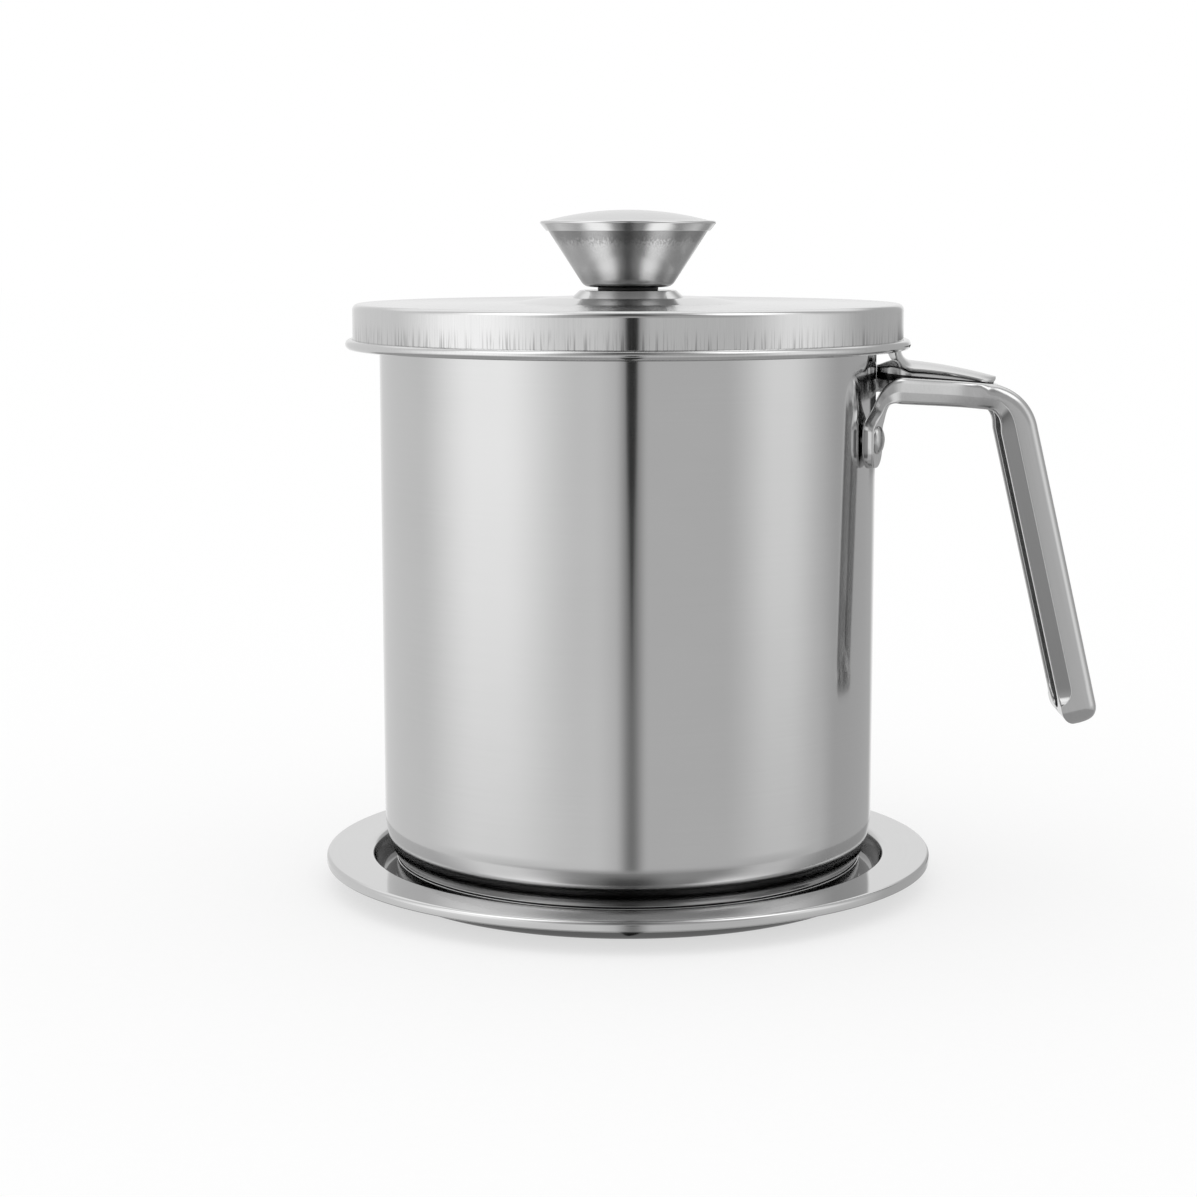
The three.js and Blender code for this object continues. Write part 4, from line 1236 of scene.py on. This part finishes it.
dress(drip_tray(), "tray", "polished_steel", tray_steel, "drip_tray")
dress(pot_cup(), "pot", "polished_steel", pot_steel, "pot_body")
dress(base_pressing(), "pot", "polished_steel", pot_steel, "base_cap")
dress(handle(), "pot", "satin_steel", handle_steel, "handle_grip")
dress(thumb_web(), "pot", "satin_steel", web_steel, "thumb_web")
dress(thumb_plate(), "pot", "polished_steel", plate_steel, "thumb_plate")
for end, way in (("near", -1), ("far", 1)):
    dress(rivet(f"rivet_{end}", way), "pot", "bare_steel", bare_steel, f"handle_rivet_{end}")
    dress(burr(f"burr_{end}", way), "pot", "bare_steel", bare_steel, f"rivet_burr_{end}")
dress(strainer_cup(), "strainer", "polished_steel", strainer_steel, "strainer_collar")
dress(strainer_mesh(), "strainer", "satin_steel", strainer_steel, "strainer_net")
dress(strainer_ring(), "strainer", "satin_steel", strainer_steel, "strainer_clamp_ring")
dress(lid_cover(), "lid", "polished_steel", lid_steel, "lid_shell")
dress(knob_foot(), "lid", "satin_steel", dome_steel, "knob_base")
dress(knob_gasket(), "lid", "black_rubber", black_rubber, "knob_spacer")
dress(knob_cone(), "lid", "satin_steel", knob_steel, "knob_shell")
dress(knob_dome(), "lid", "satin_steel", dome_steel, "knob_cap")
for kept in ("knob_core", "knob_screw", "flat_washer", "lock_washer"):
    paint(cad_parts[kept], bare_steel)
paint(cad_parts["base_core"], dull_aluminium)


# Studio: a pale floor, a white background, and panels round the object for the steel to reflect
floor_size = 12
floor_tone = 0.95
floor_fibre_scale = 400
floor_fibre_tone = 0.004
floor_glow = 0.6
daylight = 1.05
white = 1.0
base_level = 0.74
table_slopes = (-27, -22)
table_level = 0.38

# Each panel's bearing, half width and soft edge, the slopes between which it is whole, their soft edge and
# its level. Bearing 0 is toward the camera, and 90 is to its right
anywhere = (-90, 90, 1)
panels = {
    "right side": (68, 68, 16, *anywhere, 0.58),
    "right rear": (137, 24, 14, *anywhere, 0.47),
    "front ceiling": (0, 70, 50, 38, 90, 20, 0.34),
    "front wall": (0, 60, 40, 8, 34, 6, 0.44),
    "rear wall": (180, 12, 12, -30, 30, 8, 0.86),
    "rear ceiling": (180, 36, 40, 38, 90, 14, 1.05),
    "rear gap": (162, 10, 4, -4.9, -2.6, 0.5, 0.03),
    "left window": (-66, 6, 40, -2, 70, 20, 1.2),
    "right window": (74, 3, 28, -2, 70, 20, 0.94),
    "left lamp": (-64, 8, 26, 44, 62, 12, 1.7),
    "right lamp": (66, 8, 26, 44, 62, 12, 1.7),
    "front gap": (0, 4, 20, 40, 70, 16, 0.1),
}

# The dark slit between the panels, the soft groove round it, and the dark block on the table below it
slit_bearing = 1.7
slit_level = 0.02
slit_slopes = (-8.8, -3.3)
slit_half_widths = (0.8, 2.8)
slit_edge = 0.5
slit_foot = (-9.6, -8.4)
slit_top = (6, 14)
groove_width = (0, 7.6)
groove_level = 0.22
block_width = (4.6, 1)
block_slopes = (-34, -26)


def floor():
    half = floor_size / 2 / mm
    corners = [(-half, -half, 0), (half, -half, 0), (half, half, 0), (-half, half, 0)]
    piece = make("floor", corners, [(0, 1, 2, 3)])
    nodes = Nodes(bpy.data.materials.new("floor_paper"))
    fibre = nodes.noise(nodes.place(), floor_fibre_scale, *plain_noise)
    colour = nodes.grey(nodes.swing(fibre, core_span, floor_tone, floor_fibre_tone))
    paper = nodes.value("ShaderNodeBsdfDiffuse", {"Color": colour})
    glow = nodes.value("ShaderNodeEmission", {"Strength": white})
    seen = nodes.value("ShaderNodeLightPath", output="Is Camera Ray")
    shader = nodes.value("ShaderNodeMixShader", {0: seen * floor_glow, 1: paper, 2: glow})
    nodes.add("ShaderNodeOutputMaterial", {"Surface": shader})
    piece.data.materials.append(nodes.owner)
    piece.visible_glossy = False


def studio():
    """White behind the object, daylight on it, and the panels in what it reflects."""
    world = bpy.data.worlds.new("studio")
    bpy.context.scene.world = world
    nodes = Nodes(world)
    x, y, z = nodes.split(nodes.value("ShaderNodeTexCoord", output="Generated"))
    bearing = nodes.math("DEGREES", nodes.math("ARCTAN2", x, y * -1))
    slope = nodes.math("DEGREES", nodes.math("ARCSINE", z))

    def away(centre):
        return nodes.math("ABSOLUTE", nodes.math("WRAP", bearing - centre, -180, 180))

    def across(centre, half_width, edge):
        return nodes.ramp(away(centre), half_width, half_width + edge, 1, 0)

    level = base_level
    for centre, half_width, edge, low, high, slope_edge, panel_level in panels.values():
        above = nodes.ramp(slope, low - slope_edge, low, 0, 1)
        below = nodes.ramp(slope, high, high + slope_edge, 1, 0)
        level = mix(level, panel_level, across(centre, half_width, edge) * (above * below))
    under_top = nodes.ramp(slope, *slit_top, 1, 0)
    level = mix(level, groove_level, across(slit_bearing, *groove_width) * under_top)
    past = away(slit_bearing) - nodes.ramp(slope, *slit_slopes, *slit_half_widths)
    along = nodes.ramp(slope, *slit_foot, 0, 1) * under_top
    level = mix(level, slit_level, nodes.ramp(past, -slit_edge, 0, 1, 0) * along)
    level = mix(level, table_level, nodes.ramp(slope, *table_slopes, 1, 0))
    block = across(slit_bearing, *block_width) * nodes.ramp(slope, *block_slopes, 1, 0)
    level = mix(level, slit_level, block)

    glossy = nodes.value("ShaderNodeLightPath", output="Is Glossy Ray")
    through = nodes.value("ShaderNodeLightPath", output="Is Transmission Ray")
    seen = nodes.value("ShaderNodeLightPath", output="Is Camera Ray")
    lit = mix(daylight, level, nodes.math("MAXIMUM", glossy, through))
    colour = nodes.grey(mix(lit, white, seen))
    background = nodes.value("ShaderNodeBackground", {"Color": colour, "Strength": 1.0})
    nodes.add("ShaderNodeOutputWorld", {"Surface": background})


floor()
studio()

# Camera: at the photograph's place, with a small sideways shift for its framing
picture_width = 1197
axis_column = 628
focal_pixels = 2591.44
camera_back = 0.630556
camera_height = 0.15935
camera_pitch = 8.12 * degree
sensor_width = 36

camera = bpy.data.objects.new("camera", bpy.data.cameras.new("camera"))
bpy.context.scene.collection.objects.link(camera)
camera.data.sensor_width = sensor_width
camera.data.lens = focal_pixels * sensor_width / picture_width
camera.data.shift_x = (picture_width / 2 - axis_column) / picture_width
camera.location = (0, -camera_back, camera_height)
camera.rotation_euler = (pi / 2 - camera_pitch, 0, 0)
bpy.context.scene.camera = camera
bpy.context.scene.view_settings.view_transform = "Standard"
